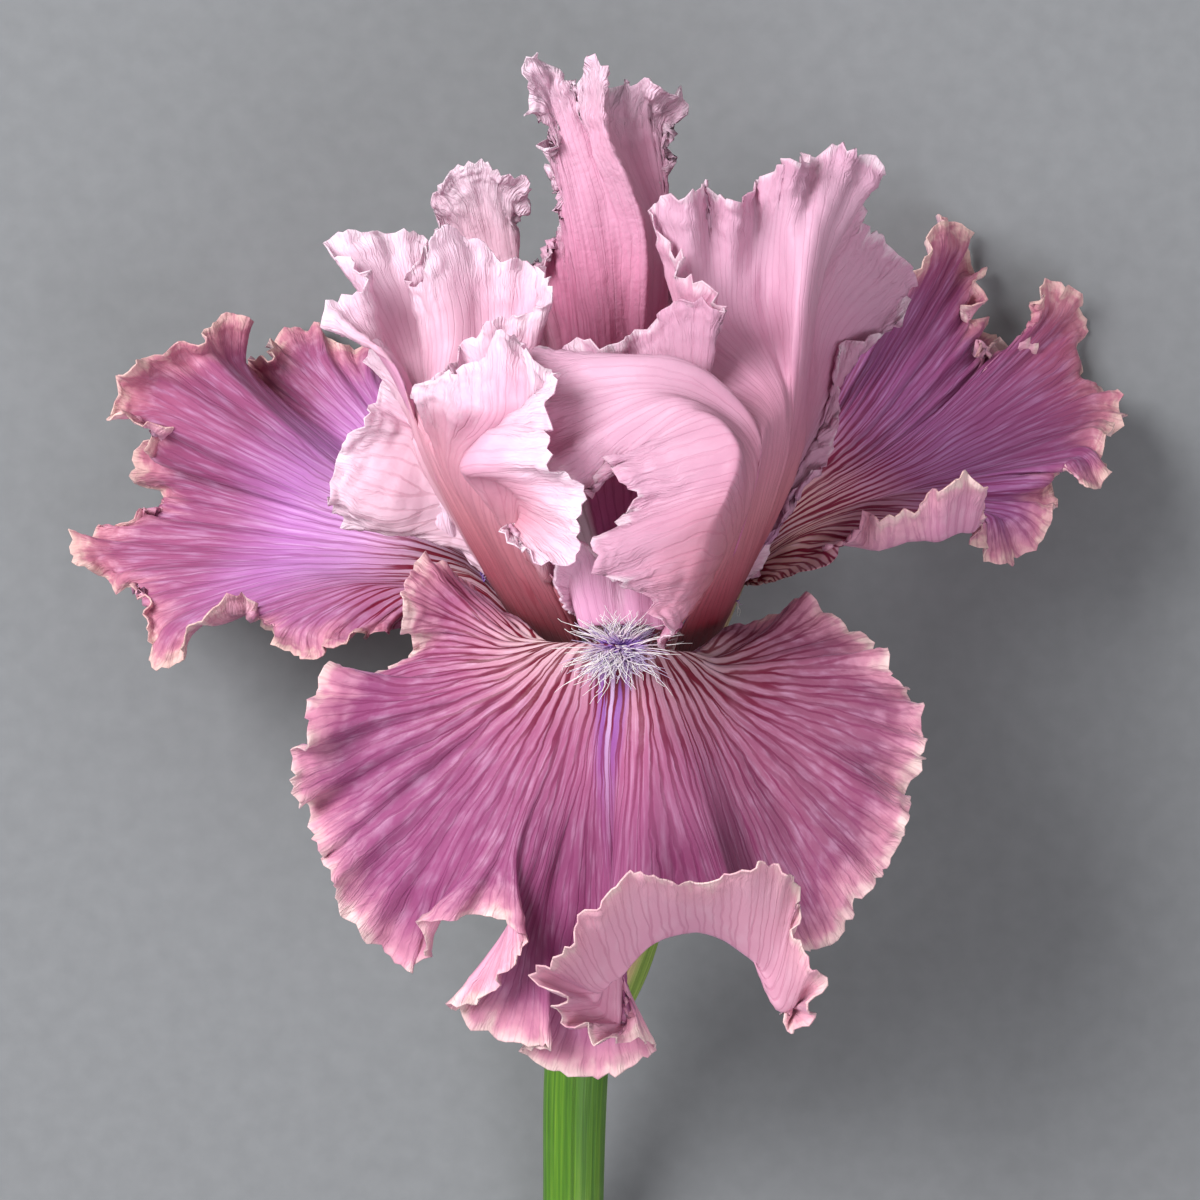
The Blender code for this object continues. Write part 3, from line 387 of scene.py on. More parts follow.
STANDARD_RIGHT = {
    "margin": [
        (12, 4, 73), (9.3, 1, 86), (7, 7, 88), (1.4, 9.8, 90), (-0.4, 14, 89.5), (5, 20.6, 86),
        (3.3, 23.6, 87), (1.2, 26, 86), (-2.2, 21.4, 83.5), (-9, 27, 81), (-10, 37, 78),
        (-9, 42, 76), (-1.5, 43.6, 75), (5.7, 45.9, 75), (12, 51, 80), (18.3, 48.3, 84),
        (14, 53, 76), (10.2, 57.8, 72), (8, 65, 70), (13.5, 65.6, 74), (15.6, 68, 68),
        (19.5, 65.6, 72), (23.7, 69.3, 66), (26.4, 70.2, 72), (31.5, 71.9, 66), (37.8, 72, 64),
        (41.7, 70, 60), (39.3, 64.2, 56), (39, 63, 50), (44.7, 59.4, 44), (48, 54.5, 40),
        (43, 47, 40), (36.8, 45.8, 44), (36.3, 31, 44), (32, 25, 47), (25, 15, 50.5),
    ],
    "belly": {
        0: (14, 5, 73), 3: (18.5, 13, 77), 8: (22.5, 23, 79), 14: (24, 30, 80),
        20: (27, 32.5, 75), 25: (29, 32, 69), 27: (30.3, 30.5, 61), 29: (30, 28, 54),
        32: (28, 23, 49), 35: (24.5, 14.5, 49.5),
    },
    "bend": {
        1: (11, 2.6, 83), 2: (13.5, 8, 86), 3: (15.8, 15, 88), 4: (17.8, 20, 89),
        5: (19.5, 24.5, 89.5), 6: (20, 28, 89.5), 7: (18, 31, 89), 8: (14, 33.5, 88),
        9: (10, 36, 86), 10: (8, 39, 84), 11: (9, 41.5, 82), 24: (30, 58, 70), 25: (32.5, 56.5, 68),
        26: (33, 53.5, 65), 27: (31.6, 50.5, 58), 28: (31.8, 48, 50), 29: (34, 45.5, 45),
        30: (36, 42.5, 42), 31: (36, 39, 42), 32: (34.5, 36, 43.5), 33: (33, 29.5, 45),
    },
    "throat": [(12, 1.5, 65), (19.5, 6, 59.5), (22, 10, 50.5)],
    "haft": [(10, -6, 54), (15, -4, 50.5), (15.5, -1.5, 45.5)],
    "azimuth": 60,
}

STANDARD_LEFT = {
    "margin": [
        (-19.5, 12, 44), (-24.3, 21, 46), (-30.5, 19, 44), (-36.6, 17.4, 46), (-41.3, 23, 50),
        (-37.8, 30.9, 52), (-32.6, 39, 52), (-33.8, 43.2, 56), (-39.3, 49.2, 62),
        (-35.6, 52.3, 61), (-38.6, 57, 55), (-39.6, 60.2, 52), (-33.8, 61.8, 50), (-26.3, 60, 49),
        (-28.5, 54.5, 54), (-26.6, 54.5, 60), (-25.6, 58.4, 62), (-24.4, 61.6, 62),
        (-19.3, 60.4, 59), (-14.6, 56.9, 57), (-7.8, 55.2, 62), (-7, 53.4, 66),
        (-9.8, 49.8, 70), (-16, 47.5, 66), (-21, 42.5, 66), (-26, 37.4, 73), (-23.6, 39, 77),
        (-20.5, 38.8, 79), (-17.3, 41.3, 80), (-13.5, 45.5, 80.5), (-11, 43.2, 82),
        (-9, 41.2, 84.5), (-7.6, 39.3, 87.5), (-6.8, 37.6, 90), (-7.4, 34.5, 91),
        (-7.2, 30, 91.5), (-6.6, 27, 92), (-3.2, 23.6, 92), (-1.6, 19.8, 91), (-2.8, 16, 90),
        (-3.8, 12.6, 90), (-7.5, 11.7, 89), (-11, 13, 87), (-14, 16.6, 84.5), (-11, 16, 80),
        (-8, 12, 77), (-4, 6, 71),
    ],
    "belly": {
        0: (-16, 9, 47), 3: (-21.5, 16.5, 46), 5: (-25.5, 24, 49), 7: (-26.3, 28, 59),
        10: (-25.5, 30, 64), 18: (-26, 30.5, 64), 25: (-24, 28, 68),
        32: (-18, 22, 75), 38: (-13, 15, 76), 43: (-10, 11, 75), 46: (-4, 4.5, 70),
    },
    "bend": {
        5: (-29, 29.5, 49), 6: (-28.8, 33, 51), 7: (-29, 37, 58), 8: (-31, 41, 64),
        12: (-28.5, 46, 51), 13: (-25.5, 46, 50.5), 14: (-26.5, 44.5, 54), 15: (-25, 43.5, 58),
        16: (-22.8, 45, 60), 17: (-20.8, 45.5, 60),
        25: (-26.5, 36, 75), 26: (-24, 35.4, 78), 27: (-20.5, 34.6, 81), 28: (-17, 34.2, 83),
        29: (-13.5, 34.2, 84.5), 30: (-11, 34.8, 86), 31: (-9.6, 35.6, 87), 32: (-8.8, 36.3, 88),
        33: (-9.5, 35.9, 88.5), 34: (-13, 33.4, 88), 35: (-17, 30, 87), 36: (-20, 26, 85.5),
        37: (-17, 24, 86), 38: (-13.4, 22.6, 85.5), 39: (-11.8, 20.6, 84.5), 40: (-12, 18.6, 83),
        41: (-12.6, 17.2, 82), 42: (-13, 16.4, 81.5), 43: (-12.6, 15.6, 80),
    },
    "throat": [(-13, 5.5, 46), (-13.5, 4.5, 56), (-3, 0.8, 65)],
    "haft": [(-6, -1.5, 43.5), (-8, -4, 49), (-1, -5.5, 54)],
    "azimuth": -60,
}

STANDARD_BACK = {
    "margin": [
        (13, 22, 24), (15, 38, 28), (12.5, 50, 33), (11.5, 58, 37), (10.8, 65.5, 41), (9.8, 69, 43),
        (9.6, 72.5, 45), (10.7, 76, 46), (12.3, 80.5, 47), (10.4, 82, 49), (7.8, 83.4, 51),
        (5.4, 84.1, 50), (3.5, 83.5, 51), (1.6, 83, 49), (1.3, 84.6, 53), (0.3, 86.1, 55),
        (-0.9, 87.4, 55), (-2.4, 87, 54), (-3.2, 85.1, 54), (-4.6, 83.5, 52), (-6.1, 83.1, 51),
        (-7.8, 86, 52), (-8.9, 87.7, 54), (-11, 87.1, 56), (-10.9, 83, 54), (-10.4, 79.9, 52),
        (-8.3, 78.2, 50), (-5.8, 76.7, 50), (-8.4, 74.1, 49), (-8.6, 72, 47), (-7.7, 69.2, 46),
        (-6.9, 65.8, 46), (-5.5, 63.7, 44), (-6.3, 60.9, 42), (-8.9, 57.3, 40), (-13.2, 56.9, 36),
        (-15, 58.5, 36), (-14.7, 62, 40), (-10.5, 66.3, 46), (-10.4, 68.7, 48), (-14.6, 70.5, 50),
        (-18, 71.3, 50), (-21, 71.7, 48), (-23.9, 69.5, 46), (-25.4, 66, 44), (-24.6, 61.7, 40),
        (-25.5, 57, 36), (-27, 51, 30), (-24, 38, 24), (-16, 24, 22),
    ],
    "spine": {
        0: (5, 22, 25), 3: (7, 48, 35), 5: (7, 62, 42), 8: (6.5, 72, 46), 11: (4, 76, 48),
        14: (1.5, 76, 55), 20: (-4, 78, 52), 24: (-6, 78, 51), 28: (-3, 68, 48), 32: (-3, 54, 40),
        35: (-13, 49, 33), 38: (-14, 57, 42), 42: (-18, 62, 44), 46: (-18, 48, 30), 49: (-9, 24, 24),
    },
    "belly": {
        0: (11, 17.5, 28), 4: (10.5, 36, 33), 8: (10.5, 52, 38.5), 11: (9.8, 56, 40.5),
        12: (9.2, 56.6, 41.5), 13: (8.2, 56.9, 44), 14: (7.2, 57, 47), 15: (6.4, 57, 46.8),
        18: (4, 56, 45), 22: (0.5, 53, 43.5), 26: (-2, 50, 41), 30: (-3, 44, 37), 34: (-5, 38, 33.5),
        38: (-8.4, 38, 33.6), 42: (-11.5, 38, 34), 46: (-13.9, 32, 29.5), 49: (-11.4, 18.7, 26),
    },
    "bend": {
        11: (5, 77, 48), 12: (3.8, 77, 49), 13: (2.3, 77.2, 52), 14: (0.9, 77.5, 57),
        15: (0.1, 78, 56.5), 16: (-0.9, 78.2, 55.5), 17: (-2, 78.2, 54.6), 18: (-3, 78, 54),
    },
    "throat": [(10, 13, 31), (1, 17, 25), (-9, 14, 29)],
    "haft": [(9, 3, 33), (5, 4, 31), (1, 3, 33)],
    "azimuth": 180,
}

PETALS = {
    "fall_front": FALL_FRONT,
    "fall_left": FALL_LEFT,
    "fall_right": FALL_RIGHT,
    "standard_left": STANDARD_LEFT,
    "standard_right": STANDARD_RIGHT,
    "standard_back": STANDARD_BACK,
}


def remembered(name):
    """Random numbers that are the same each time for one piece."""
    return Random(f"iris {name}")


def drift(along, scale, random):
    """Slow wander of a wave's phase, so that no two of its crests are alike."""
    total = np.zeros_like(along)
    for stretch in DRIFT_STRETCHES:
        share = random.uniform(*DRIFT_SHARES)
        total += share * np.sin(along / (scale * stretch) + random.uniform(0, ANY_PHASE))
    return total


def distance_inward(sheet):
    """Distance of each point from the margin, along its column."""
    steps = np.linalg.norm(np.diff(sheet, axis=0), axis=2)
    return np.concatenate([np.cumsum(steps[::-1], axis=0)[::-1], np.zeros((1, sheet.shape[1]))])


def distance_outward(sheet):
    """Distance of each point from the claw, along its column."""
    steps = np.linalg.norm(np.diff(sheet, axis=0), axis=2)
    return np.concatenate([np.zeros((1, sheet.shape[1])), np.cumsum(steps, axis=0)])


def margin_length(sheet):
    """Length of the margin from its start to each column."""
    steps = np.linalg.norm(np.diff(sheet[-1], axis=0), axis=1)
    return np.concatenate([[0], np.cumsum(steps)])


def liveliness(sheet, start, end):
    """1 along the margin, and less towards its ends beside the claw, where the blade lies calm."""
    along = margin_length(sheet)
    share = np.clip(np.minimum(along / start, (along[-1] - along) / end), 0, 1)
    return CALMEST + (1 - CALMEST) * share**2 * (3 - 2 * share)


def pleated(sheet, kind, random):
    """Adds the soft folds that fan out from the haft."""
    count, height = PLEATS[kind]
    rows, columns = sheet.shape[:2]
    across = np.linspace(0, 1, columns)
    wander, stretch = PLEAT_DRIFT
    wave = np.sin(2 * math.pi * count * across + wander * drift(across, stretch, random))
    start, length = PLEAT_RISE
    rise = np.clip((np.linspace(0, 1, rows) - start) / length, 0, 1)
    return lifted(sheet, height * rise[:, None] * wave)


def ruffled(sheet, kind, lively, random):
    """Crinkles the margin with ever finer waves."""
    along, inward = margin_length(sheet), distance_inward(sheet)
    middle, change, stretch = RUFFLE_SWELL
    lift = np.zeros(sheet.shape[:2])
    for length, height, reach in RUFFLES[kind]:
        wave = np.sin(2 * math.pi * along / length + drift(along, length, random))
        swell = middle + change * np.sin(along / (length * stretch) + random.uniform(0, ANY_PHASE))
        lift += height * (wave * swell * lively)[None, :] * np.exp(-inward / reach)
    return lifted(sheet, lift)


def toothed(sheet, kind, lively, random):
    """Cuts the margin into scallops and frays it into small uneven teeth."""
    along, inward = margin_length(sheet), distance_inward(sheet)
    away = sheet[-1] - sheet[-1 - TOOTH_ROWS]
    away /= np.maximum(np.linalg.norm(away, axis=1, keepdims=True), 1e-6)
    push = np.zeros(sheet.shape[:2])
    finer, many = FINER_TEETH
    middle, change, stretch = TOOTH_SWELL
    for length, depth, reach in TEETH[kind]:
        place = math.pi * along / length
        tooth = np.abs(np.sin(place + drift(along, length, random)))
        tooth += finer * np.abs(np.sin(many * place + drift(along, length / 2, random)))
        wander = drift(along, 3 * length, random)
        uneven = middle + change * np.sin(along / (stretch * length) + wander)
        push += ((tooth * uneven - 0.5) * depth * lively)[None, :] * np.exp(-inward / reach)
    return sheet + away[None] * push[:, :, None]


def crumpled(sheet, kind, lively):
    """Creases the blade like tissue, most of all along its margin."""
    size, at_margin, inside, reach = CRUMPLES[kind]
    inward = distance_inward(sheet)
    edge = np.exp(-(inward / reach)**2) * lively[None, :]
    height = inside + (at_margin - inside) * edge
    crease = np.empty(sheet.shape[:2])
    for row, points in enumerate(sheet):
        for column, point in enumerate(points):
            place = Vector(point) / size
            finer = abs(noise.noise(place * FINER_CREASES))
            crease[row, column] = 0.6 - 2 * abs(noise.noise(place)) - finer
    return lifted(sheet, height * crease)


def fine_petal(petal, kind, number, name, column_step, rows):
    """Dense sheet of a petal, on the same lines as its solid, and the fields of its points."""
    margin = np.array(petal["margin"], float)
    length = np.linalg.norm(np.diff(margin, axis=0), axis=1).sum()
    columns_at = np.linspace(0, 1, round(length / column_step))
    rows_at = 1 - np.linspace(1, 0, rows)**MARGIN_CROWDING
    random = remembered(name)
    sheet = petal_sheet(petal, columns_at, rows_at)
    if kind != "style":
        sheet = waved(sheet, WAVE_HEIGHT, number)
    calm = CALM_ENDS.get(name, CALM_ENDS[kind])
    lively = liveliness(sheet, *calm)
    sheet = pleated(sheet, kind, random)
    sheet = ruffled(sheet, kind, lively, random)
    sheet = toothed(sheet, kind, lively, random)
    sheet = on_surface(crumpled(sheet, name if name in CRUMPLES else kind, lively))
    return sheet, sheet_fields(sheet, rows_at, calm[0] * (1 - lively))


def sheet_fields(sheet, rows_at, held_in):
    """Numbers that a sheet's material reads, with the margin's looks held in by a distance."""
    rows, columns = sheet.shape[:2]
    width = np.linalg.norm(np.diff(sheet, axis=1), axis=2).sum(axis=1)
    fork = np.log2(np.maximum(width / (FIRST_VEINS * VEIN_SPACING), 1.0))
    ones = np.ones((rows, columns))
    return {
        "across": ones * np.linspace(0, 1, columns)[None, :],
        "along": ones * rows_at[:, None],
        "reach": distance_outward(sheet) / REACH_UNIT,
        "inward": distance_inward(sheet) + held_in,
        "margin": ones * margin_length(sheet)[None, :],
        "width": ones * width[:, None],
        "fork": ones * fork[:, None],
    }


def quads(index):
    """Four-sided faces between the rows and columns of a grid of point numbers."""
    corners = [index[:-1, :-1], index[1:, :-1], index[1:, 1:], index[:-1, 1:]]
    return np.stack(corners, axis=-1).reshape(-1, 4)


def mesh_object(name, points, faces, fields, materials):
    """Smooth object of points in millimetres, with its fields and materials."""
    mesh = bpy.data.meshes.new(name)
    mesh.from_pydata((points * MM + np.array(SHIFT)).tolist(), [], faces)
    for key, values in fields.items():
        layer = mesh.attributes.new(key, "FLOAT", "POINT")
        layer.data.foreach_set("value", np.ravel(values))
    mesh.shade_smooth()
    for material in materials:
        mesh.materials.append(material)
    obj = bpy.data.objects.new(name, mesh)
    bpy.context.scene.collection.objects.link(obj)
    return obj


def shell_object(name, sheet, fields, thickness, materials):
    """Thin closed shell on a sheet: an upper side, an under side and the rim between."""
    rows, columns = sheet.shape[:2]
    count = rows * columns
    half = sheet_normals(sheet) * thickness / 2
    points = np.concatenate([(sheet + half).reshape(-1, 3), (sheet - half).reshape(-1, 3)])
    index = np.arange(count).reshape(rows, columns)
    ring = np.concatenate([index[0, :-1], index[:-1, -1], index[-1, :0:-1], index[:0:-1, 0]])
    after = np.roll(ring, -1)
    upper, under = quads(index), quads(index + count)[:, ::-1]
    rim = np.stack([ring, after, after + count, ring + count], axis=-1)
    faces = np.concatenate([upper, under, rim])
    side = np.repeat([0, 1, 0], [len(upper), len(under), len(rim)])
    doubled = {key: np.tile(values.ravel(), 2) for key, values in fields.items()}
    obj = mesh_object(name, points, faces.tolist(), doubled, materials)
    obj.data.polygons.foreach_set("material_index", side)
    place = np.stack([doubled["across"], doubled["along"]], axis=-1)
    add_colour_map(obj.data, place, faces, side, len(rim))
    return obj


def add_colour_map(mesh, place, faces, side, rim_faces):
    """Lays the two sides of a shell out flat in a half of the map each, and its rim between."""
    corner = faces.ravel()
    spot = place[corner]
    spot[:, 1] = MAP_HALF * spot[:, 1] + UNDER_HALF * np.repeat(side, 4)
    rim = slice(-4 * rim_faces, None)
    spot[rim, 1] += RIM_SLIVER * (corner[rim] >= len(place) // 2)
    mesh.uv_layers.new(name=MAP_NAME).uv.foreach_set("vector", spot.ravel())


def directions(line, upright):
    """Directions to the right and up at each point of a line."""
    forward = np.gradient(line, axis=0)
    forward /= np.linalg.norm(forward, axis=1, keepdims=True)
    right = np.cross(forward, upright)
    right /= np.linalg.norm(right, axis=1, keepdims=True)
    return right, np.cross(right, forward)


def tube_points(line, radii, sides):
    """Rings of points round a line, one row of them for each of its points."""
    right, up = directions(line, TUBE_UPRIGHT)
    angle = np.linspace(0, 2 * math.pi, sides, endpoint=False)
    ring = np.cos(angle)[None, :, None] * up[:, None] + np.sin(angle)[None, :, None] * right[:, None]
    return line[:, None] + ring * radii.reshape(len(line), -1)[:, :, None]


def tube_faces(rows, sides, first=0):
    """Faces round a tube whose points are numbered from the first, with its two caps last."""
    index = first + np.arange(rows * sides).reshape(rows, sides)
    wrapped = np.concatenate([index, index[:, :1]], axis=1)
    return [*quads(wrapped).tolist(), index[0].tolist(), index[-1, ::-1].tolist()]


def tube_mesh_object(name, rings, materials, fields):
    """Closed tube through rings of points, with a flat cap of the last material at its start."""
    rows, sides = rings.shape[:2]
    faces = tube_faces(rows, sides)
    obj = mesh_object(name, rings.reshape(-1, 3), faces, fields, materials)
    cap = obj.data.polygons[len(faces) - 2]
    cap.material_index = len(materials) - 1
    cap.use_smooth = False
    fix_facing(obj.data)
    return obj


def fix_facing(mesh):
    """Turns a closed mesh's faces outward."""
    body = bmesh.new()
    body.from_mesh(mesh)
    bmesh.ops.recalc_face_normals(body, faces=body.faces)
    body.to_mesh(mesh)
    body.free()


def colour(code):
    """Linear colour from a six-digit code."""
    channels = [int(code[i:i + 2], 16) / 255 for i in (0, 2, 4)]
    return (*[c / 12.92 if c < 0.04045 else ((c + 0.055) / 1.055)**2.4 for c in channels], 1)


class Paint:
    """Short hand for the nodes of one material."""

    def __init__(self, name):
        self.material = bpy.data.materials.new(name)
        self.material.use_nodes = True
        self.tree = self.material.node_tree
        self.shader = self.tree.nodes["Principled BSDF"]

    def feed(self, socket, value):
        if isinstance(value, bpy.types.NodeSocket):
            self.tree.links.new(value, socket)
        else:
            socket.default_value = value

    def node(self, kind, inputs, **settings):
        made = self.tree.nodes.new("ShaderNode" + kind)
        for key, value in settings.items():
            setattr(made, key, value)
        for key, value in inputs.items():
            self.feed(made.inputs[key], value)
        return made

    def math(self, operation, *values):
        return self.node("Math", dict(enumerate(values)), operation=operation).outputs[0]

    def times(self, first, *others):
        """Product of the values."""
        for other in others:
            first = self.math("MULTIPLY", first, other)
        return first

    def scaled(self, value, factor, offset):
        return self.math("MULTIPLY_ADD", value, factor, offset)

    def distance(self, first, second):
        return self.math("ABSOLUTE", self.math("SUBTRACT", first, second))

    def field(self, name):
        return self.node("Attribute", {}, attribute_name=name).outputs["Fac"]

    def place(self):
        return self.node("TexCoord", {}).outputs["Object"]

    def smooth(self, value, low, high):
        """0 below low and 1 above high, with a soft change between."""
        inputs = {"Value": value, "From Min": low, "From Max": high}
        return self.node("MapRange", inputs, interpolation_type="SMOOTHSTEP").outputs["Result"]

    def fade(self, value, low, high):
        """1 below low and 0 above high, with a soft change between."""
        return self.math("SUBTRACT", 1.0, self.smooth(value, low, high))

    def noise(self, vector, scale, detail=2.0):
        inputs = {"Vector": vector, "Scale": scale, "Detail": detail}
        return self.node("TexNoise", inputs).outputs["Fac"]

    def vector(self, x, y, z=0.0):
        return self.node("CombineXYZ", {0: x, 1: y, 2: z}).outputs[0]

    def drawn_out(self, across, across_scale, along, along_scale):
        """Noise that runs on along one of two directions."""
        x, y = self.times(across, across_scale), self.times(along, along_scale)
        return self.noise(self.vector(x, y), 1.0, 3.0)

    def blend(self, share, first, second):
        inputs = {0: share, 6: first, 7: second}
        return self.node("Mix", inputs, data_type="RGBA").outputs[2]

    def tint(self, tone, code, *shares):
        """Tone with the product of the shares of a code's colour over it."""
        return self.blend(self.times(*shares), tone, colour(code))

    def ramp(self, value, stops):
        """Colour, or grey value, that changes from stop to stop."""
        made = self.node("ValToRGB", {"Fac": value})
        line = made.color_ramp
        while len(line.elements) < len(stops):
            line.elements.new(1.0)
        for element, (position, tone) in zip(line.elements, stops):
            element.position = position
            element.color = colour(tone) if isinstance(tone, str) else (tone, tone, tone, 1)
        return made.outputs["Color"]

    def bump(self, height, distance, strength=1.0):
        inputs = {"Height": height, "Distance": distance * MM, "Strength": strength}
        return self.node("Bump", inputs).outputs["Normal"]

    def finish(self, tone, roughness, normal=None, **values):
        """Sets the surface shader's own values."""
        self.feed(self.shader.inputs["Base Color"], tone)
        self.feed(self.shader.inputs["Roughness"], roughness)
        for key, value in values.items():
            self.shader.inputs[key.replace("_", " ")].default_value = value
        if normal is not None:
            self.feed(self.shader.inputs["Normal"], normal)
        return self.material

    def see_light_through(self, share, tone):
        """Lets part of the light through the piece, as thin petals do."""
        output = self.tree.nodes["Material Output"]
        glow = self.node("BsdfTranslucent", {"Color": tone}).outputs[0]
        mixed = self.node("MixShader", {0: share, 1: self.shader.outputs[0], 2: glow})
        self.tree.links.new(mixed.outputs[0], output.inputs["Surface"])


# Noise scales of a petal's patterns, in waves per metre
WANDER_SCALE = 90.0
TREMBLE_SCALE = 420.0
CLOUD_SCALE = 45.0
BLOTCH_SCALE = 26.0
RAGGED_SCALE = 130.0
MIDLINE_SCALE = 70.0
SWAY_SCALE = 200.0
TISSUE_SCALE = 480.0
BROKEN_SCALE = 160.0
CELL_SCALE = 1500.0
# How far veins wander and tremble, in shares of their spacing, and how unevenly they fork
WANDER = 1.3
TREMBLE = 0.32
FORK_SPREAD = 1.8
FORK_SCALE = 60.0
# Streaks across and along a blade
STREAK_SCALES = (190.0, 16.0)
# Raggedness of the pale band, in millimetres, by clouds and by streaks
RAGGED_CLOUDS = 9.0
RAGGED_STREAKS = -6.0
# The midline's violet bands and pale ridge: distances over which they fade
MIDLINE_FADE = (1.4, 4.6)
RIDGE_FADE = (0.4, 1.1)
# Crimps: sway in millimetres, scales along the margin and inward, fading distances, height
CRIMP_SWAY = 5.0
CRIMP_SCALES = (0.85, 0.13)
CRIMP_FADE = (1.0, 14.0)
CRIMP_HEIGHT = 5.5
TISSUE_HEIGHT = 0.7
VEIN_HEIGHT = -0.2
CELL_HEIGHT = 0.12


def centred(paint, value, span):
    """Noise as a number round 0, with the given span."""
    return paint.scaled(value, span, -span / 2)


def vein_distance(paint, across, fork, width):
    """Distance in millimetres to the nearest of the veins, which fork as the blade widens."""
    place = paint.place()
    wander = centred(paint, paint.noise(place, WANDER_SCALE), WANDER)
    tremble = centred(paint, paint.noise(place, TREMBLE_SCALE), TREMBLE)
    spacing = paint.math("DIVIDE", 1 / FIRST_VEINS, paint.math("POWER", 2.0, fork))
    across = paint.scaled(paint.math("ADD", wander, tremble), spacing, across)
    lag = paint.node("TexNoise", {"W": paint.times(across, FORK_SCALE), "Scale": 1.0, "Detail": 1.0},
                     noise_dimensions="1D").outputs["Fac"]
    fork = paint.math("ADD", fork, centred(paint, lag, FORK_SPREAD))
    fork = paint.math("MAXIMUM", fork, 0.0)
    level = paint.math("FLOOR", fork)
    opening = paint.smooth(paint.math("SUBTRACT", fork, level), 0.0, 1.0)
    count = paint.times(FIRST_VEINS, paint.math("POWER", 2.0, level))
    offset = paint.distance(paint.math("FRACT", paint.times(across, count)), 0.5)
    beside = paint.distance(offset, paint.times(opening, 0.25))
    return paint.math("DIVIDE", paint.times(beside, width), count)


def petal_ground(paint, look, streaks, bloom):
    """Colour between the veins: a gradient along the blade, a wing tint, soft blotches and pale
    streaks. The pale streaks are partly the petal's own striation and partly a painted satin
    highlight. The wing tint is painted light on some petals and painted shade on others.
    """
    cloud = paint.noise(paint.place(), CLOUD_SCALE, 3.0)
    zone = paint.math("ADD", paint.field("reach"), centred(paint, cloud, 0.12))
    ground = paint.ramp(zone, look["ground"])
    # Wing tint: painted light on the left and back standards, painted shade on the right standard and
    # on the front fall's right side, and darker magenta on the left fall's lower side
    if "wing" in look:
        ground = paint.tint(ground, look["wing"], paint.field("wing"), look["wing_share"])
    blotch = paint.smooth(paint.noise(paint.place(), BLOTCH_SCALE, 3.0), 0.42, 0.72)
    ground = paint.tint(ground, look["blush"], blotch, bloom, look["blush_share"])
    # Pale streaks in the look's light tone: partly the petal's own striation, partly a painted satin
    # highlight between the veins
    pale = paint.smooth(streaks, 0.42, 0.8)
    return paint.tint(ground, look["light"], pale, look["streaks"], bloom), zone


def petal_edge(paint, look, tone, streaks):
    """Pale band along the margin, ragged towards the blade, and its palest brink."""
    bloom = paint.smooth(paint.field("reach"), *look["edge_bloom"])
    cloud = paint.noise(paint.place(), RAGGED_SCALE, 3.0)
    ragged = paint.math("ADD", paint.field("inward"), centred(paint, cloud, RAGGED_CLOUDS))
    ragged = paint.math("ADD", ragged, centred(paint, streaks, RAGGED_STREAKS))
    band = paint.times(paint.fade(ragged, 0.0, look["edge_reach"]), bloom)
    tone = paint.tint(tone, look["edge"], band, look["edge_share"])
    brink = paint.fade(ragged, -1.0, look["brink_reach"])
    return paint.tint(tone, look["brink"], brink, bloom, look["brink_share"]), band


def petal_midline(paint, look, tone):
    """Ridge from the beard outward: a pale line between two violet bands."""
    middle = paint.scaled(paint.noise(paint.place(), MIDLINE_SCALE), 0.012, 0.494)
    aside = paint.times(paint.distance(paint.field("across"), middle), paint.field("width"))
    strength = paint.ramp(paint.field("reach"), look["midline_strength"])
    tone = paint.tint(tone, look["midline"], paint.fade(aside, *MIDLINE_FADE), strength)
    return paint.tint(tone, look["ridge"], paint.fade(aside, *RIDGE_FADE), strength)


def petal_creases(paint):
    """Crimps that run in from the margin, over fine tissue creases."""
    inward = paint.field("inward")
    margin = paint.scaled(paint.noise(paint.place(), SWAY_SCALE), CRIMP_SWAY, paint.field("margin"))
    margin_scale, inward_scale = CRIMP_SCALES
    crimps = paint.distance(paint.drawn_out(margin, margin_scale, inward, inward_scale), 0.5)
    tissue = paint.distance(paint.noise(paint.place(), TISSUE_SCALE, 3.0), 0.5)
    near = paint.times(paint.fade(inward, *CRIMP_FADE), crimps, CRIMP_HEIGHT)
    return paint.scaled(tissue, TISSUE_HEIGHT, near)


def petal_veins(paint, look, tone, zone, band):
    """Tone with the veins drawn on it, fainter in the pale band, and the lines alone."""
    distance = vein_distance(paint, paint.field("across"), paint.field("fork"), paint.field("width"))
    half = paint.ramp(paint.field("reach"), look["vein_half"])
    line = paint.fade(distance, paint.times(half, 0.3), half)
    broken = paint.scaled(paint.noise(paint.place(), BROKEN_SCALE), 1.2, 0.4)
    fainter = paint.scaled(band, -0.55, 1.0)
    strength = paint.times(paint.ramp(zone, look["vein_strength"]), broken, fainter)
    drawn = paint.math("MINIMUM", paint.times(line, strength), 1.0)
    return paint.blend(drawn, tone, paint.ramp(zone, look["veins"])), line


def petal_relief(paint, look, streaks, line):
    """Height of the skin: streaks, sunken veins, small cells and creases."""
    height = paint.scaled(streaks, look["grain"], paint.times(line, VEIN_HEIGHT))
    cells = paint.times(paint.noise(paint.place(), CELL_SCALE), CELL_HEIGHT)
    creases = paint.times(petal_creases(paint), look["crepe"])
    return paint.math("ADD", paint.math("ADD", height, cells), creases)


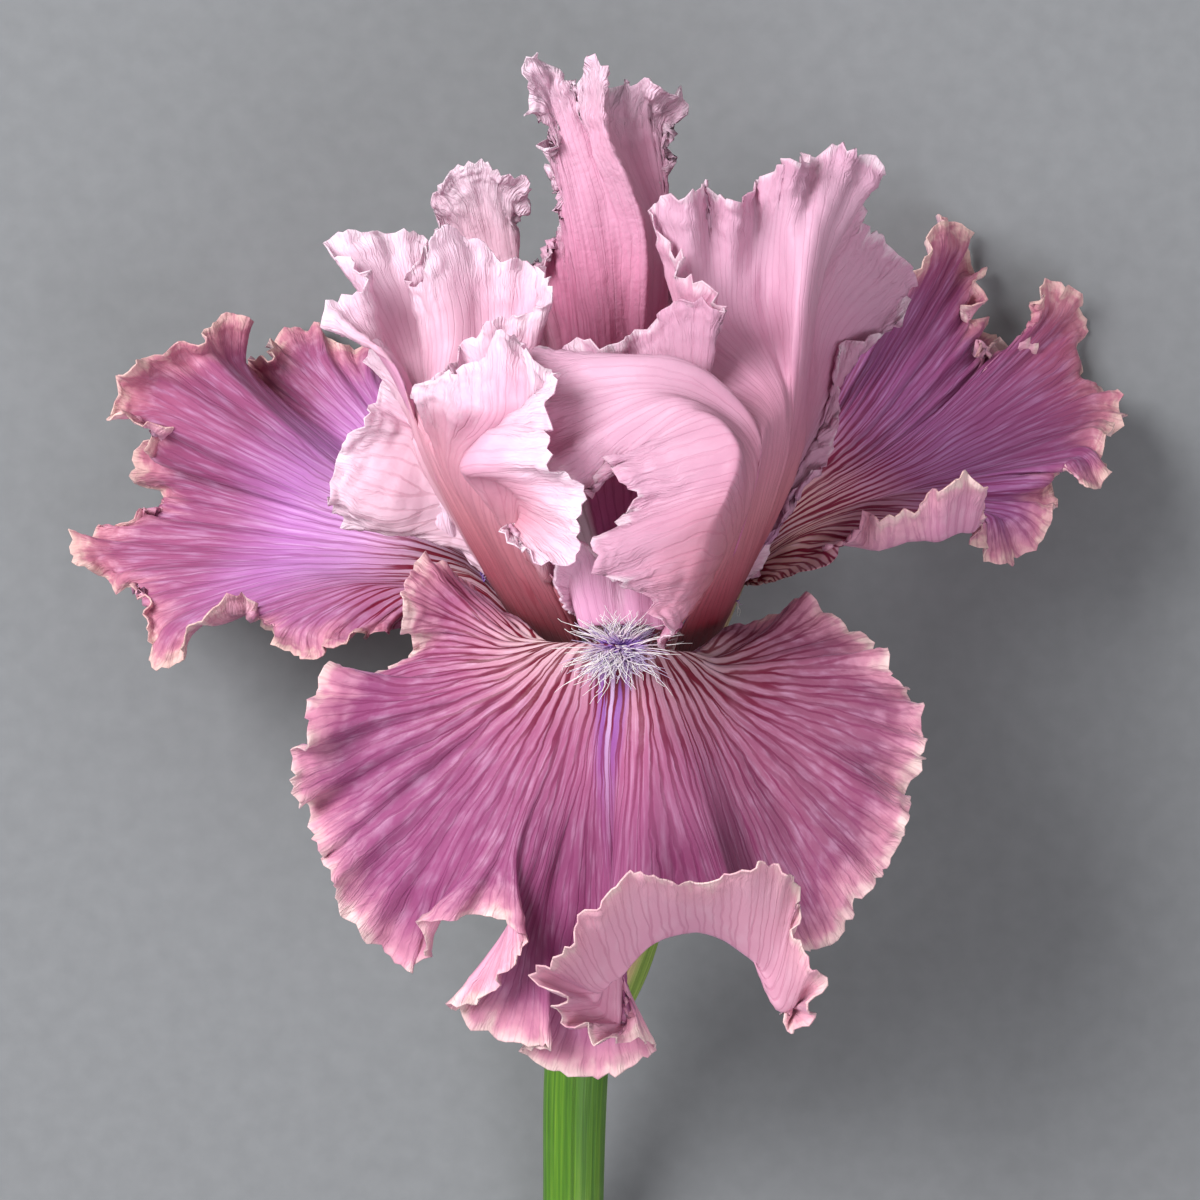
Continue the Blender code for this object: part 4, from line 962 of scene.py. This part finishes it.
def petal_material(name, look):
    """Petal's skin: ground colour, forking veins, pale margin, fine creases and soft gloss."""
    paint = Paint(name)
    across_scale, along_scale = STREAK_SCALES
    streaks = paint.drawn_out(paint.field("across"), across_scale, paint.field("along"), along_scale)
    bloom = paint.smooth(paint.field("reach"), *look["bloom"])
    ground, zone = petal_ground(paint, look, streaks, bloom)
    ground, band = petal_edge(paint, look, ground, streaks)
    if "midline" in look:
        ground = petal_midline(paint, look, ground)
    tone, line = petal_veins(paint, look, ground, zone, band)
    normal = paint.bump(petal_relief(paint, look, streaks, line), 0.3, 0.7)
    roughness = paint.scaled(streaks, -0.2, look["roughness"])
    paint.finish(tone, roughness, normal, Sheen_Weight=look["sheen"], Sheen_Roughness=0.35,
                 Sheen_Tint=colour(look["sheen_tone"]), Specular_IOR_Level=look["gloss"])
    paint.see_light_through(look["clearness"], paint.tint(tone, look["glow"], bloom, 0.4))
    return paint.material


# Colours of the falls. Places on a ramp are distances from the claw, in shares of REACH_UNIT.
FALL_LOOK = {
    "bloom": (0.1, 0.3), "edge_bloom": (0.1, 0.3), "grain": 0.1,
    "ground": [(0.0, "d8c48c"), (0.2, "d2b8a4"), (0.32, "cfacb0"), (0.4, "c2849a"), (0.48, "ac5f84"),
               (0.62, "9c527c"), (0.8, "a05080"), (1.0, "c47a9a")],
    "veins": [(0.0, "4c0614"), (0.3, "640c1c"), (0.42, "701634"), (0.55, "7a2450"), (0.8, "84346a")],
    "vein_strength": [(0.0, 1.0), (0.38, 1.0), (0.5, 0.75), (0.65, 0.45), (0.85, 0.3), (1.0, 0.2)],
    "vein_half": [(0.0, 0.44), (0.34, 0.42), (0.5, 0.32), (0.7, 0.22), (1.0, 0.17)],
    # The light tone of the pale streaks is partly a painted satin highlight
    "light": "dcb2d2", "streaks": 0.36, "blush": "904478", "blush_share": 0.4,
    "edge": "e6a2b6", "edge_reach": 8.5, "edge_share": 0.8,
    "brink": "f7e0d6", "brink_share": 0.8, "brink_reach": 2.6,
    # The wing tone darkens the front fall's right side: painted shade
    "wing": "8a5264", "wing_share": 0.45,
    "midline": "7a40a8", "ridge": "dcbcdc",
    "midline_strength": [(0.0, 0.0), (0.2, 1.0), (0.38, 0.8), (0.48, 0.45), (0.58, 0.12), (0.68, 0.0)],
    "crepe": 0.45, "roughness": 0.52, "gloss": 0.3, "sheen": 0.3, "sheen_tone": "e6c8f2",
    "glow": "c8508c", "clearness": 0.24,
}
RIGHT_FALL_LOOK = dict(
    FALL_LOOK,
    ground=[(0.0, "d8c48c"), (0.2, "dcb8ac"), (0.34, "d4a8a2"), (0.44, "c08496"), (0.53, "a2608e"),
            (0.62, "9e5a90"), (0.78, "9e527f"), (0.92, "b2607c"), (1.0, "d48a9c")],
    vein_strength=[(0.0, 1.0), (0.42, 1.0), (0.52, 0.85), (0.65, 0.6), (0.85, 0.35), (1.0, 0.2)],
    vein_half=[(0.0, 0.46), (0.36, 0.46), (0.5, 0.4), (0.7, 0.28), (1.0, 0.18)],
    veins=[(0.0, "640a18"), (0.3, "7a1024"), (0.42, "7c1a3c"), (0.55, "7a2450"), (0.8, "84346a")],
    light="e2bcee", blush="843a6c", edge="dc94a2", brink="f5d6c8", sheen=0.15,
    midline_strength=[(0.0, 0.0), (0.1, 0.3), (0.3, 0.2), (0.4, 0.0)],
)
# The left fall's paler lilac middle and brighter streak tone are partly painted light; its wing tone
# is a darker magenta on its lower side
LEFT_FALL_LOOK = dict(
    RIGHT_FALL_LOOK,
    ground=[(0.0, "d8c48c"), (0.2, "dcc2ba"), (0.32, "d0acb4"), (0.4, "c48cb0"), (0.48, "c68cc4"),
            (0.58, "c27ec2"), (0.7, "a65a86"), (0.92, "ac5c7a"), (1.0, "d48a9c")],
    vein_strength=[(0.0, 1.0), (0.36, 1.0), (0.44, 0.6), (0.55, 0.3), (0.7, 0.25), (1.0, 0.15)],
    vein_half=[(0.0, 0.46), (0.32, 0.44), (0.42, 0.3), (0.6, 0.2), (1.0, 0.15)],
    light="f0ccf6", wing="a85a84", wing_share=0.75,
)
FALL_LOOKS = {"fall_front": FALL_LOOK, "fall_left": LEFT_FALL_LOOK, "fall_right": RIGHT_FALL_LOOK}
FALL_UNDER_LOOK = dict(
    FALL_LOOK,
    ground=[(0.0, "c0c67c"), (0.2, "d8b698"), (0.34, "dca0b0"), (0.6, "e29cbc"), (1.0, "f2b6ca")],
    veins=[(0.0, "8a3a4a"), (0.5, "b0608c"), (1.0, "c0607f")],
    vein_strength=[(0.0, 0.5), (0.5, 0.35), (1.0, 0.25)],
    light="f4ccdc", blush="c8689a", edge="f2b4c4", midline="b9c487", ridge="c8cf96",
    midline_strength=[(0.0, 0.9), (0.4, 0.3), (0.6, 0.0)],
)
STANDARD_OUTER_LOOK = {
    "bloom": (0.4, 0.58), "edge_bloom": (0.3, 0.44), "grain": 0.035,
    "ground": [(0.0, "4c0812"), (0.14, "5c0e18"), (0.22, "882c38"), (0.3, "b45e6c"), (0.4, "cc8490")],
    "veins": [(0.0, "200308"), (0.3, "7a2434"), (0.5, "bc6480"), (1.0, "c87ea4")],
    "vein_strength": [(0.0, 0.3), (0.35, 0.26), (0.5, 0.2), (0.7, 0.13), (1.0, 0.1)],
    "vein_half": [(0.0, 0.22), (0.5, 0.18), (1.0, 0.15)],
    # The light tone of the pale streaks is partly a painted highlight
    "light": "fff2f6", "streaks": 0.14, "blush": "da8cb2", "blush_share": 0.4,
    "edge": "f6dae8", "edge_reach": 11.0, "edge_share": 0.75,
    "brink": "fff6fa", "brink_share": 0.6, "brink_reach": 1.6,
    "crepe": 0.7, "roughness": 0.5, "gloss": 0.22, "sheen": 0.05, "sheen_tone": "f6e4f4",
    "glow": "e894bc", "clearness": 0.36,
}
STANDARD_INNER_LOOK = dict(
    STANDARD_OUTER_LOOK,
    bloom=(0.3, 0.5),
    ground=[(0.0, "b04a84"), (0.2, "c05e9c"), (0.32, "c870a2"), (0.44, "d688aa")],
    blush="da7ca2", blush_share=0.45, light="fae4f2",
)
STANDARD_LOOKS = {"inner": STANDARD_INNER_LOOK, "outer": STANDARD_OUTER_LOOK}
# Where the standards' ground colours go on to, away from the claw, with each standard's own wing,
# edge, streak and crease values. The left and back standards are paler and have near-white wings:
# painted light. The right standard is duller and darker, with a dusty wing and edge: painted shade.
STANDARD_TINTS = {
    "standard_left": {
        "wing": "fae2f0", "wing_share": 0.75, "edge": "fae4f0",
        "inner": [(0.6, "ecb0d2"), (0.78, "f2c6de"), (1.0, "f8dcea")],
        "outer": [(0.53, "e2a6b6"), (0.64, "eec2d4"), (0.8, "f4d4e4"), (1.0, "fce8f2")],
    },
    "standard_right": {
        "wing": "b890aa", "wing_share": 0.7, "edge": "dcaac2", "edge_share": 0.6, "light": "f0d2e2",
        "inner": [(0.6, "d294b0"), (0.78, "dca4bc"), (1.0, "e6b8cc")],
        "outer": [(0.53, "d494a8"), (0.64, "d8a2ba"), (0.8, "dcb0c6"), (1.0, "e6c0d4")],
    },
    "standard_back": {
        "wing": "fffafd", "wing_share": 0.9, "crepe": 2.4,
        "inner": [(0.6, "e89cbc"), (0.78, "f2b8d4"), (1.0, "fcdaec")],
        "outer": [(0.53, "e0a0b6"), (0.64, "eab4ca"), (0.8, "f2c2da"), (1.0, "fadcec")],
    },
}
STYLE_LOOK = dict(
    STANDARD_INNER_LOOK,
    bloom=(0.0, 0.1), edge_bloom=(0.0, 0.1),
    ground=[(0.0, "d9cf9c"), (0.1, "dca2a8"), (0.25, "dc98b8"), (0.4, "e2a6c8"), (1.0, "ecbcd8")],
    veins=[(0.0, "a04a58"), (0.3, "b86a94"), (1.0, "c583ab")],
    light="f8d4e6", blush="c27cac", blush_share=0.4,
)


def petal_skins(name, under):
    """Materials of a petal's upper and under side; a standard's inner side is its upper one."""
    if name in FALL_LOOKS:
        return petal_material(name, FALL_LOOKS[name]), under
    tints = STANDARD_TINTS[name]
    return tuple(
        petal_material(f"{name}_{side}", dict(look, **tints, ground=look["ground"] + tints[side]))
        for side, look in STANDARD_LOOKS.items())


def fine_petals():
    """Fine sheets in place of the falls and standards, each with its skin."""
    under = petal_material("fall_under", FALL_UNDER_LOOK)
    sheets = {}
    for number, (name, petal) in enumerate(PETALS.items()):
        kind = name.split("_")[0]
        petal["claw"] = claw_line(petal["azimuth"])
        sheet, fields = fine_petal(petal, kind, number, name, COLUMN_STEP, PETAL_ROWS)
        start, end = WINGS.get(name, NO_WING)
        fields["wing"] = np.clip((fields["across"] - start) / (end - start), 0, 1)
        piece = shell_object(f"{name}_fine", sheet, fields, FINE_THICKNESS, petal_skins(name, under))
        hand_over(piece, name)
        sheets[name] = sheet
    return sheets


def hand_over(piece, node):
    """The piece stands for the node and takes its place in the flower."""
    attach(piece, "root")
    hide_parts(node)


# Style arm: side offset, distance from the bloom's axis and height over the tube
STYLE_CREST = [
    (-5, 22, 22), (-8, 26, 25), (-9, 29, 30), (-7, 30, 35), (-4, 30.5, 37), (-1.5, 30, 34),
    (0, 29.5, 31), (1.5, 30, 34), (4, 30.5, 37), (7, 30, 35), (9, 29, 30), (8, 26, 25),
    (5, 22, 22),
]
# Height of the crest's tips, where a leaning arm stands out by its full lean
STYLE_HEIGHT = 37
STYLE_THROAT = [(-5, 18, 24), (0, 18, 25.5), (5, 18, 24)]
STYLE_HAFT = [(-3, 9.5, 15.5), (0, 9.5, 16.5), (3, 9.5, 15.5)]
STYLE_CLAW = [(-1.5, 2.6, 0.8), (0, 2.8, 0.8), (1.5, 2.6, 0.8)]
STYLE_LIP = {2: (-6, 28, 23), 6: (0, 29.5, 24), 10: (6, 28, 23)}
# Each arm's azimuth, share of the full size, and how far its crest leans sideways
STYLE_ARMS = {"front": (0, 1.0, -4), "left": (-124, 0.72, 0), "right": (126, 0.72, 0)}


def style_petal(azimuth, size, lean):
    """Places the style arm's points round the bloom's axis."""
    def placed(point):
        side, radius, height = (value * size for value in point)
        side += lean * (height / STYLE_HEIGHT)**2
        return at(azimuth, radius, height) + outward(azimuth + 90) * side
    return {
        "margin": [placed(point) for point in STYLE_CREST],
        "belly": {index: placed(point) for index, point in STYLE_LIP.items()},
        "throat": [placed(point) for point in STYLE_THROAT],
        "haft": [placed(point) for point in STYLE_HAFT],
        "claw": [at(azimuth, radius, height) + outward(azimuth + 90) * side
                 for side, radius, height in STYLE_CLAW],
    }


STYLE_COLUMN_STEP = 0.5
FINE_STYLE_ROWS = 40
# Style arms and bracts are firmer than petals
FIRM_THICKNESS = 0.5


def fine_styles():
    skin = petal_material("style_skin", STYLE_LOOK)
    for name, (azimuth, size, lean) in STYLE_ARMS.items():
        petal = style_petal(azimuth, size, lean)
        sheet, fields = fine_petal(petal, "style", 0, name, STYLE_COLUMN_STEP, FINE_STYLE_ROWS)
        piece = shell_object(f"style_{name}_fine", sheet, fields, FIRM_THICKNESS, (skin, skin))
        hand_over(piece, f"style_{name}")


# Stamen: distance from the bloom's axis, height over the tube and half its thickness
STAMEN_POINTS = [
    (4.2, 0.8, 0.7), (5.0, 4, 0.7), (6.9, 7.4, 0.65), (9.2, 9.9, 0.6), (10.2, 10.6, 1.0),
    (12.5, 12, 1.3), (14.6, 13.8, 1.2), (16.2, 15, 0.8),
]
STAMEN_AZIMUTHS = {"front": 0, "left": -120, "right": 120}


FINE_STAMEN_RINGS = 40
FINE_STAMEN_SIDES = 14
STAMEN_TIP = 0.2


def stamen_material():
    """Cream stalk and dusty anther."""
    paint = Paint("stamen_skin")
    grain = paint.noise(paint.place(), 2500.0, 4.0)
    anther = paint.smooth(paint.field("along"), 0.52, 0.6)
    dusty = paint.ramp(grain, [(0.3, "cbb98a"), (0.6, "f3ead0")])
    tone = paint.blend(anther, colour("e8d9cf"), dusty)
    return paint.finish(tone, 0.8, paint.bump(grain, 0.2, anther))


def fine_stamens():
    skin = stamen_material()
    for name, azimuth in STAMEN_AZIMUTHS.items():
        points = np.array([at(azimuth, radius, height) for radius, height, _ in STAMEN_POINTS])
        places = np.linspace(0, 1, FINE_STAMEN_RINGS)
        radii = np.array([[half] for _, _, half in STAMEN_POINTS])
        share = shares(points)
        line = spline(share, points, places)
        thickness = np.maximum(steady(share, radii, places)[:, 0], STAMEN_TIP)
        thickness[-1] = STAMEN_TIP
        rings = tube_points(line, thickness, FINE_STAMEN_SIDES)
        fields = {"along": np.repeat(places[:, None], FINE_STAMEN_SIDES, axis=1)}
        piece = tube_mesh_object(f"stamen_{name}_fine", rings, [skin], fields)
        hand_over(piece, f"stamen_{name}")


# Stem, ovary and tube: points of the middle line and the radius at each
STEM_POINTS = [
    (-4.4, -100, 4.35, 4.6), (-4.1, -82, 12.2, 4.7), (-3.6, -64.5, 19.6, 4.9),
    (-2.2, -52, 24.8, 4.9), (-0.6, -44, 28.1, 5.3), (1.4, -35, 31.7, 6.4), (3, -27, 34.9, 5.8),
    (4.2, -18, 38.4, 4.3), (4.8, -12.5, 40.6, 5.0), (5.0, -9, 42.0, 7.6),
]
STEM_RINGS = 22
STEM_SIDES_STEP = 4


def stem_line(places):
    """Middle line and radius of the stem at shares of its length."""
    points = np.array(STEM_POINTS)
    return spline(shares(points[:, :3]), points, places)


STEM_SIDES = 56
FINE_STEM_RINGS = 120
# Fine ribs along the stem: how many, and their height as a share of its radius
STEM_RIBS = (9, 0.012)
# The ovary's three lobes: their number and height, and their middle and reach along the stem
OVARY_LOBES = (3, 0.05)
OVARY_MIDDLE = 0.68
OVARY_REACH = 0.12


def stem_material():
    """Green stem: lengthwise streaks, a pale bloom and small flecks."""
    paint = Paint("stem_skin")
    around, along = paint.field("across"), paint.field("along")
    turn = paint.times(around, 2 * math.pi)
    x, y = (paint.times(paint.math(side, turn), 9.0) for side in ("COSINE", "SINE"))
    streaks = paint.noise(paint.vector(x, y, paint.times(along, 4.0)), 1.0, 5.0)
    tone = paint.ramp(streaks, [(0.25, "2b5406"), (0.5, "44700e"), (0.75, "628a1c")])
    pale = paint.noise(paint.place(), 60.0, 3.0)
    tone = paint.tint(tone, "7da24c", paint.smooth(pale, 0.5, 0.8), 0.3)
    ovary = paint.ramp(along, [(0.5, 0.0), (0.6, 0.5), (0.85, 0.6), (0.95, 0.9)])
    tone = paint.tint(tone, "8fae4e", ovary)
    flecks = paint.math("GREATER_THAN", paint.noise(paint.place(), 1400.0, 1.0), 0.72)
    tone = paint.tint(tone, "3c6a1a", flecks, 0.25)
    return paint.finish(tone, 0.42, paint.bump(streaks, 0.25, 0.7), Coat_Weight=0.12,
                        Coat_Roughness=0.35, Subsurface_Weight=0.08, Subsurface_Scale=0.002)


def cut_material():
    """Freshly cut end: pale pith with a greener rind and small vessels."""
    paint = Paint("stem_cut")
    vessels = paint.node("TexVoronoi", {"Vector": paint.place(), "Scale": 1300.0}).outputs["Distance"]
    dots = paint.smooth(vessels, 0.1, 0.35)
    tone = paint.blend(dots, colour("8aa650"), colour("d5e0ac"))
    return paint.finish(tone, 0.5, paint.bump(vessels, 0.2, 0.6))


def fine_stem():
    places = np.linspace(0, 1, FINE_STEM_RINGS)
    line = stem_line(places)
    around = np.linspace(0, 1, STEM_SIDES, endpoint=False)
    (rib_count, rib_height), (lobe_count, lobe_height) = STEM_RIBS, OVARY_LOBES
    ribs = 1 + rib_height * np.sin(2 * math.pi * rib_count * around)[None, :]
    swelling = np.exp(-((places - OVARY_MIDDLE) / OVARY_REACH)**2)[:, None]
    lobes = 1 + lobe_height * swelling * np.sin(2 * math.pi * lobe_count * around)[None, :]
    radii = line[:, 3:4] * ribs * lobes
    rings = tube_points(line[:, :3], radii, STEM_SIDES)
    fields = {
        "across": np.repeat(around[None, :], FINE_STEM_RINGS, axis=0),
        "along": np.repeat(places[:, None], STEM_SIDES, axis=1),
    }
    piece = tube_mesh_object("stem_fine", rings, [stem_material(), cut_material()], fields)
    hand_over(piece, "stem")


# Each bract: middle of its wrap round the stem, half the wrap at its foot, and tip's share
SPATHES = {"spathe_outer": (-60, 84, 0.93), "spathe_inner": (118, 80, 0.86)}
SPATHE_FOOT = 0.475
# Bract's distance from the stem's middle line, from foot to tip
SPATHE_RADII = [6.6, 8.6, 9.4, 9.5, 9.3, 9.8]
# Width of the bract as a share of its foot's
SPATHE_WIDTHS = [1.0, 0.98, 0.9, 0.7, 0.4, 0.06]


def spathe_sheet(middle, half_wrap, tip, columns, rows):
    """Bract that wraps the ovary: arcs round the stem's line that narrow to a tip."""
    along = np.linspace(0, 1, rows)
    centre = stem_line(SPATHE_FOOT + (tip - SPATHE_FOOT) * along)[:, :3]
    right, up = directions(centre, (0, 0, 1))
    radius = even_line([[value] for value in SPATHE_RADII], along)[:, 0]
    width = even_line([[value] for value in SPATHE_WIDTHS], along)[:, 0]
    across = np.linspace(-1, 1, columns)
    angle = np.radians(middle + half_wrap * width[:, None] * across[None, :])
    ring = np.cos(angle)[:, :, None] * up[:, None] + np.sin(angle)[:, :, None] * right[:, None]
    return centre[:, None] + ring * radius[:, None, None]


FINE_SPATHE_COLUMNS = 110
FINE_SPATHE_ROWS = 80
# Ribs across a bract: waves in radians, and their height
SPATHE_RIB_WAVES = 60
SPATHE_RIB_HEIGHT = 0.15


def spathe_material():
    """Bract: parallel veins on olive green, dry and papery towards its edge and tip."""
    paint = Paint("spathe_skin")
    across, along, inward = paint.field("across"), paint.field("along"), paint.field("inward")
    ribs = paint.drawn_out(across, 70.0, along, 2.0)
    tone = paint.ramp(ribs, [(0.3, "5d7a2a"), (0.5, "7f9a3e"), (0.7, "9db257")])
    blotches = paint.noise(paint.place(), 120.0, 4.0)
    dry = paint.math("MAXIMUM", paint.smooth(along, 0.8, 1.0), paint.fade(inward, 0.3, 2.2))
    tone = paint.tint(tone, "c8b07c", dry, paint.smooth(blotches, 0.3, 0.6))
    tone = paint.tint(tone, "8c5a6a", paint.smooth(blotches, 0.6, 0.8), 0.35)
    paint.finish(tone, 0.55, paint.bump(ribs, 0.3, 0.8))
    paint.see_light_through(0.15, colour("a9bf5a"))
    return paint.material


def fine_spathes():
    skin = spathe_material()
    ribs = SPATHE_RIB_HEIGHT * np.sin(np.linspace(0, SPATHE_RIB_WAVES, FINE_SPATHE_COLUMNS))
    for name, (middle, half_wrap, tip) in SPATHES.items():
        sheet = spathe_sheet(middle, half_wrap, tip, FINE_SPATHE_COLUMNS, FINE_SPATHE_ROWS)
        sheet = lifted(sheet, np.tile(ribs, (FINE_SPATHE_ROWS, 1)))
        fields = sheet_fields(sheet, np.linspace(0, 1, FINE_SPATHE_ROWS), 0)
        from_start = distance_outward(sheet.transpose(1, 0, 2)).T
        side_distance = np.minimum(from_start, from_start[:, -1:] - from_start)
        fields["inward"] = np.minimum(fields["inward"], side_distance)
        piece = shell_object(f"{name}_fine", sheet, fields, FIRM_THICKNESS, (skin, skin))
        hand_over(piece, name)


# Beard of each fall: where it starts and ends along the blade, the size of its hairs as a
# share of the largest, and how many there are of each kind
BEARD_HAIRS = {
    "front": (0.1, 0.32, 1.0, 420, 460, 560),
    "left": (0.08, 0.2, 0.45, 110, 120, 200),
    "right": (0.06, 0.18, 0.45, 110, 120, 200),
}
# Half width of the strip that the hairs grow on
BEARD_HALF = 2.6
# Kinds of hair: shortest, longest, thickness, and how far they lean to the side
HAIR_KINDS = [(4.8, 7.0, 0.14, 1.1), (3.2, 5.4, 0.13, 0.85), (1.2, 2.4, 0.13, 0.7)]
HAIR_STEPS = 8
HAIR_SIDES = 3
# Tones from root to tip
LONG_HAIR_TONES = [(0.0, "8436c4"), (0.14, "b070dc"), (0.3, "fbe2f2"), (0.6, "fffdfb")]
SHORT_HAIR_TONES = [(0.0, "6a2cb0"), (0.6, "9450d8"), (1.0, "c08ae8")]
# How much thinner a hair is at its tip
HAIR_TAPER = 0.75
# Random lean of a hair to the side and ahead, and how far it leans back or ahead by its place
HAIR_SPREAD = (0.22, 0.25)
LEAN_BACK = 0.6
LEAN_AHEAD = 0.25
# Curl of a hair, in shares of its length: its random part, and the least and greatest bend
CURL_SPREAD = 0.5
HAIR_BEND = (0.1, 0.35)
# Waves of a hair: height as a share of its length, and the range of their turns in radians
HAIR_WAVE = 0.12
WAVE_TURNS = (4, 10)


def hair_line(root, normal, across, ahead, aside, fore, length, lean, random):
    """Points of one hair, which leans away from the middle and curls a little."""
    sideways, onward = HAIR_SPREAD
    direction = normal + across * (aside * lean + random.gauss(0, sideways))
    forward = fore * (LEAN_AHEAD if fore > 0 else LEAN_BACK)
    direction += ahead * (forward * lean + random.gauss(0, onward)) + (0, 0, max(0, -fore))
    direction /= np.linalg.norm(direction)
    curl = across * (aside + random.gauss(0, CURL_SPREAD))
    curl += ahead * (fore + random.gauss(0, CURL_SPREAD))
    places = np.linspace(0, 1, HAIR_STEPS)
    bend = random.uniform(*HAIR_BEND) * length
    wave = HAIR_WAVE * length * places * np.sin(
        places * random.uniform(*WAVE_TURNS) + random.uniform(0, 6))
    return (root + places[:, None] * direction * length
            + (places**2)[:, None] * curl * bend + wave[:, None] * across)


def hair_mesh(name, hairs, materials):
    """All hairs of a beard as tapered tubes in one mesh."""
    grown = np.linspace(0, 1, HAIR_STEPS)
    taper = 1 - HAIR_TAPER * grown
    each = HAIR_STEPS * HAIR_SIDES
    points, faces = [], []
    for number, (line, radius, _) in enumerate(hairs):
        points.append(tube_points(line, radius * taper, HAIR_SIDES).reshape(-1, 3))
        faces += tube_faces(HAIR_STEPS, HAIR_SIDES, number * each)
    fields = {
        "grown": np.tile(np.repeat(grown, HAIR_SIDES), len(hairs)),
        "kind": np.repeat([float(kind) for *_, kind in hairs], each),
    }
    return mesh_object(name, np.concatenate(points), faces, fields, materials)


def beard_material():
    """Hair: violet at its root and nearly white at its tip; the short coat stays violet."""
    paint = Paint("beard_hair")
    grown, kind = paint.field("grown"), paint.field("kind")
    long_tone = paint.ramp(grown, LONG_HAIR_TONES)
    short_tone = paint.ramp(grown, SHORT_HAIR_TONES)
    tone = paint.blend(paint.smooth(kind, 0.5, 1.5), long_tone, short_tone)
    uneven = paint.noise(paint.place(), 700.0, 2.0)
    tone = paint.tint(tone, "fff4ee", uneven, 0.3)
    paint.finish(tone, 0.5, Specular_IOR_Level=0.5)
    paint.see_light_through(0.25, tone)
    return paint.material


def hair_root(sheet, row, aside):
    """Column that a hair grows from, and the directions across and ahead there."""
    middle = (sheet.shape[1] - 1) // 2
    spacing = np.linalg.norm(sheet[row, middle + 1] - sheet[row, middle])
    column = middle + round(aside * BEARD_HALF / spacing)
    across = sheet[row, column + 3] - sheet[row, column - 3]
    ahead = sheet[row + 1, column] - sheet[row, column]
    return column, across / np.linalg.norm(across), ahead / np.linalg.norm(ahead)


def fine_beard(side, sheet, rows_at, skin):
    random = remembered(f"beard {side}")
    low, high, size, *numbers = BEARD_HAIRS[side]
    normals = sheet_normals(sheet)
    hairs = []
    for kind, number in enumerate(numbers):
        shortest, longest, radius, lean = HAIR_KINDS[kind]
        for _ in range(number):
            along = random.uniform(low, high)
            aside = max(-1.0, min(1.0, random.gauss(0, 0.5)))
            row = int(np.searchsorted(rows_at, along))
            column, across, ahead = hair_root(sheet, row, aside)
            length = size * random.uniform(shortest, longest)
            fore = 2 * (along - low) / (high - low) - 1
            line = hair_line(sheet[row, column], normals[row, column], across, ahead, aside, fore,
                             length, lean, random)
            hairs.append((line, radius, kind))
    piece = hair_mesh(f"beard_{side}_fine", hairs, [skin])
    hand_over(piece, f"beard_{side}")


def fine_beards(sheets):
    skin = beard_material()
    rows_at = 1 - np.linspace(1, 0, PETAL_ROWS)**MARGIN_CROWDING
    for side in ("front", "left", "right"):
        fine_beard(side, sheets[f"fall_{side}"], rows_at, skin)


# Camera straight over the bloom: its height, the middle of its view and the view's width
CAMERA_HEIGHT = 1550
VIEW_CENTRE = (0, 6, 50)
VIEW_WIDTH = 180
SENSOR = 36
FLOOR_SIZE = 4
# Lights: place in metres, size, power and tone
LIGHTS = {
    "key": ((-0.85, 0.45, 1.1), 0.9, 34, "fcfcff"),
    "fill": ((0.6, -0.7, 1.2), 1.0, 9, "f6f4ff"),
}
LIT_POINT = (0, 0, 0.05)
WORLD_TONE = "ececee"
WORLD_STRENGTH = 0.56


def add_camera():
    camera = bpy.data.objects.new("camera", bpy.data.cameras.new("camera"))
    bpy.context.scene.collection.objects.link(camera)
    x, y, z = VIEW_CENTRE
    camera.location = Vector((x, y, CAMERA_HEIGHT)) * MM + SHIFT
    camera.data.sensor_width = SENSOR
    camera.data.lens = SENSOR * (CAMERA_HEIGHT - z) / VIEW_WIDTH
    bpy.context.scene.camera = camera


def add_floor():
    bpy.ops.mesh.primitive_plane_add(size=FLOOR_SIZE)
    floor = bpy.context.object
    floor.name = "floor"
    paint = Paint("floor_paint")
    grain = paint.noise(paint.place(), 300.0, 3.0)
    tone = paint.ramp(grain, [(0.3, "707273"), (0.7, "757778")])
    floor.data.materials.append(paint.finish(tone, 0.9))


def add_light(name, place, size, power, tone):
    light = bpy.data.lights.new(name, "AREA")
    light.shape = "DISK"
    light.size = size
    light.energy = power
    light.color = colour(tone)[:3]
    lamp = bpy.data.objects.new(name, light)
    bpy.context.scene.collection.objects.link(lamp)
    lamp.location = place
    lamp.rotation_euler = (Vector(LIT_POINT) - Vector(place)).to_track_quat("-Z", "Y").to_euler()


def add_lights():
    for name, values in LIGHTS.items():
        add_light(name, *values)
    world = bpy.data.worlds.new("studio")
    bpy.context.scene.world = world
    world.use_nodes = True
    background = world.node_tree.nodes["Background"].inputs
    background["Color"].default_value = colour(WORLD_TONE)
    background["Strength"].default_value = WORLD_STRENGTH
    bpy.context.scene.view_settings.view_transform = "Standard"


def plain_stem_corner():
    """Lowest corner of the stem's solid in the flower's frame, from its own rings."""
    line = stem_line(np.linspace(0, 1, STEM_RINGS))
    curve = bpy.data.curves.new("stem_gauge", "CURVE")
    curve.dimensions = "3D"
    curve.bevel_depth = MM
    curve.bevel_resolution = STEM_SIDES_STEP
    row = curve.splines.new("POLY")
    row.points.add(len(line) - 1)
    for place, (x, y, z, radius) in zip(row.points, line):
        place.co = (x * MM, y * MM, z * MM, 1)
        place.radius = radius
    gauge = bpy.data.objects.new("stem_gauge", curve)
    bpy.context.scene.collection.objects.link(gauge)
    graph = bpy.context.evaluated_depsgraph_get()
    mesh = gauge.evaluated_get(graph).to_mesh()
    corner = np.array([vertex.co for vertex in mesh.vertices]).min(axis=0)
    bpy.data.objects.remove(gauge, do_unlink=True)
    return Vector(corner)


# From the flower's own frame to the frame that the solids stand in
SHIFT = Vector(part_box("stem")[0]) - plain_stem_corner()


add_camera()
add_floor()
add_lights()
fine_stem()
fine_spathes()
fine_beards(fine_petals())
fine_styles()
fine_stamens()
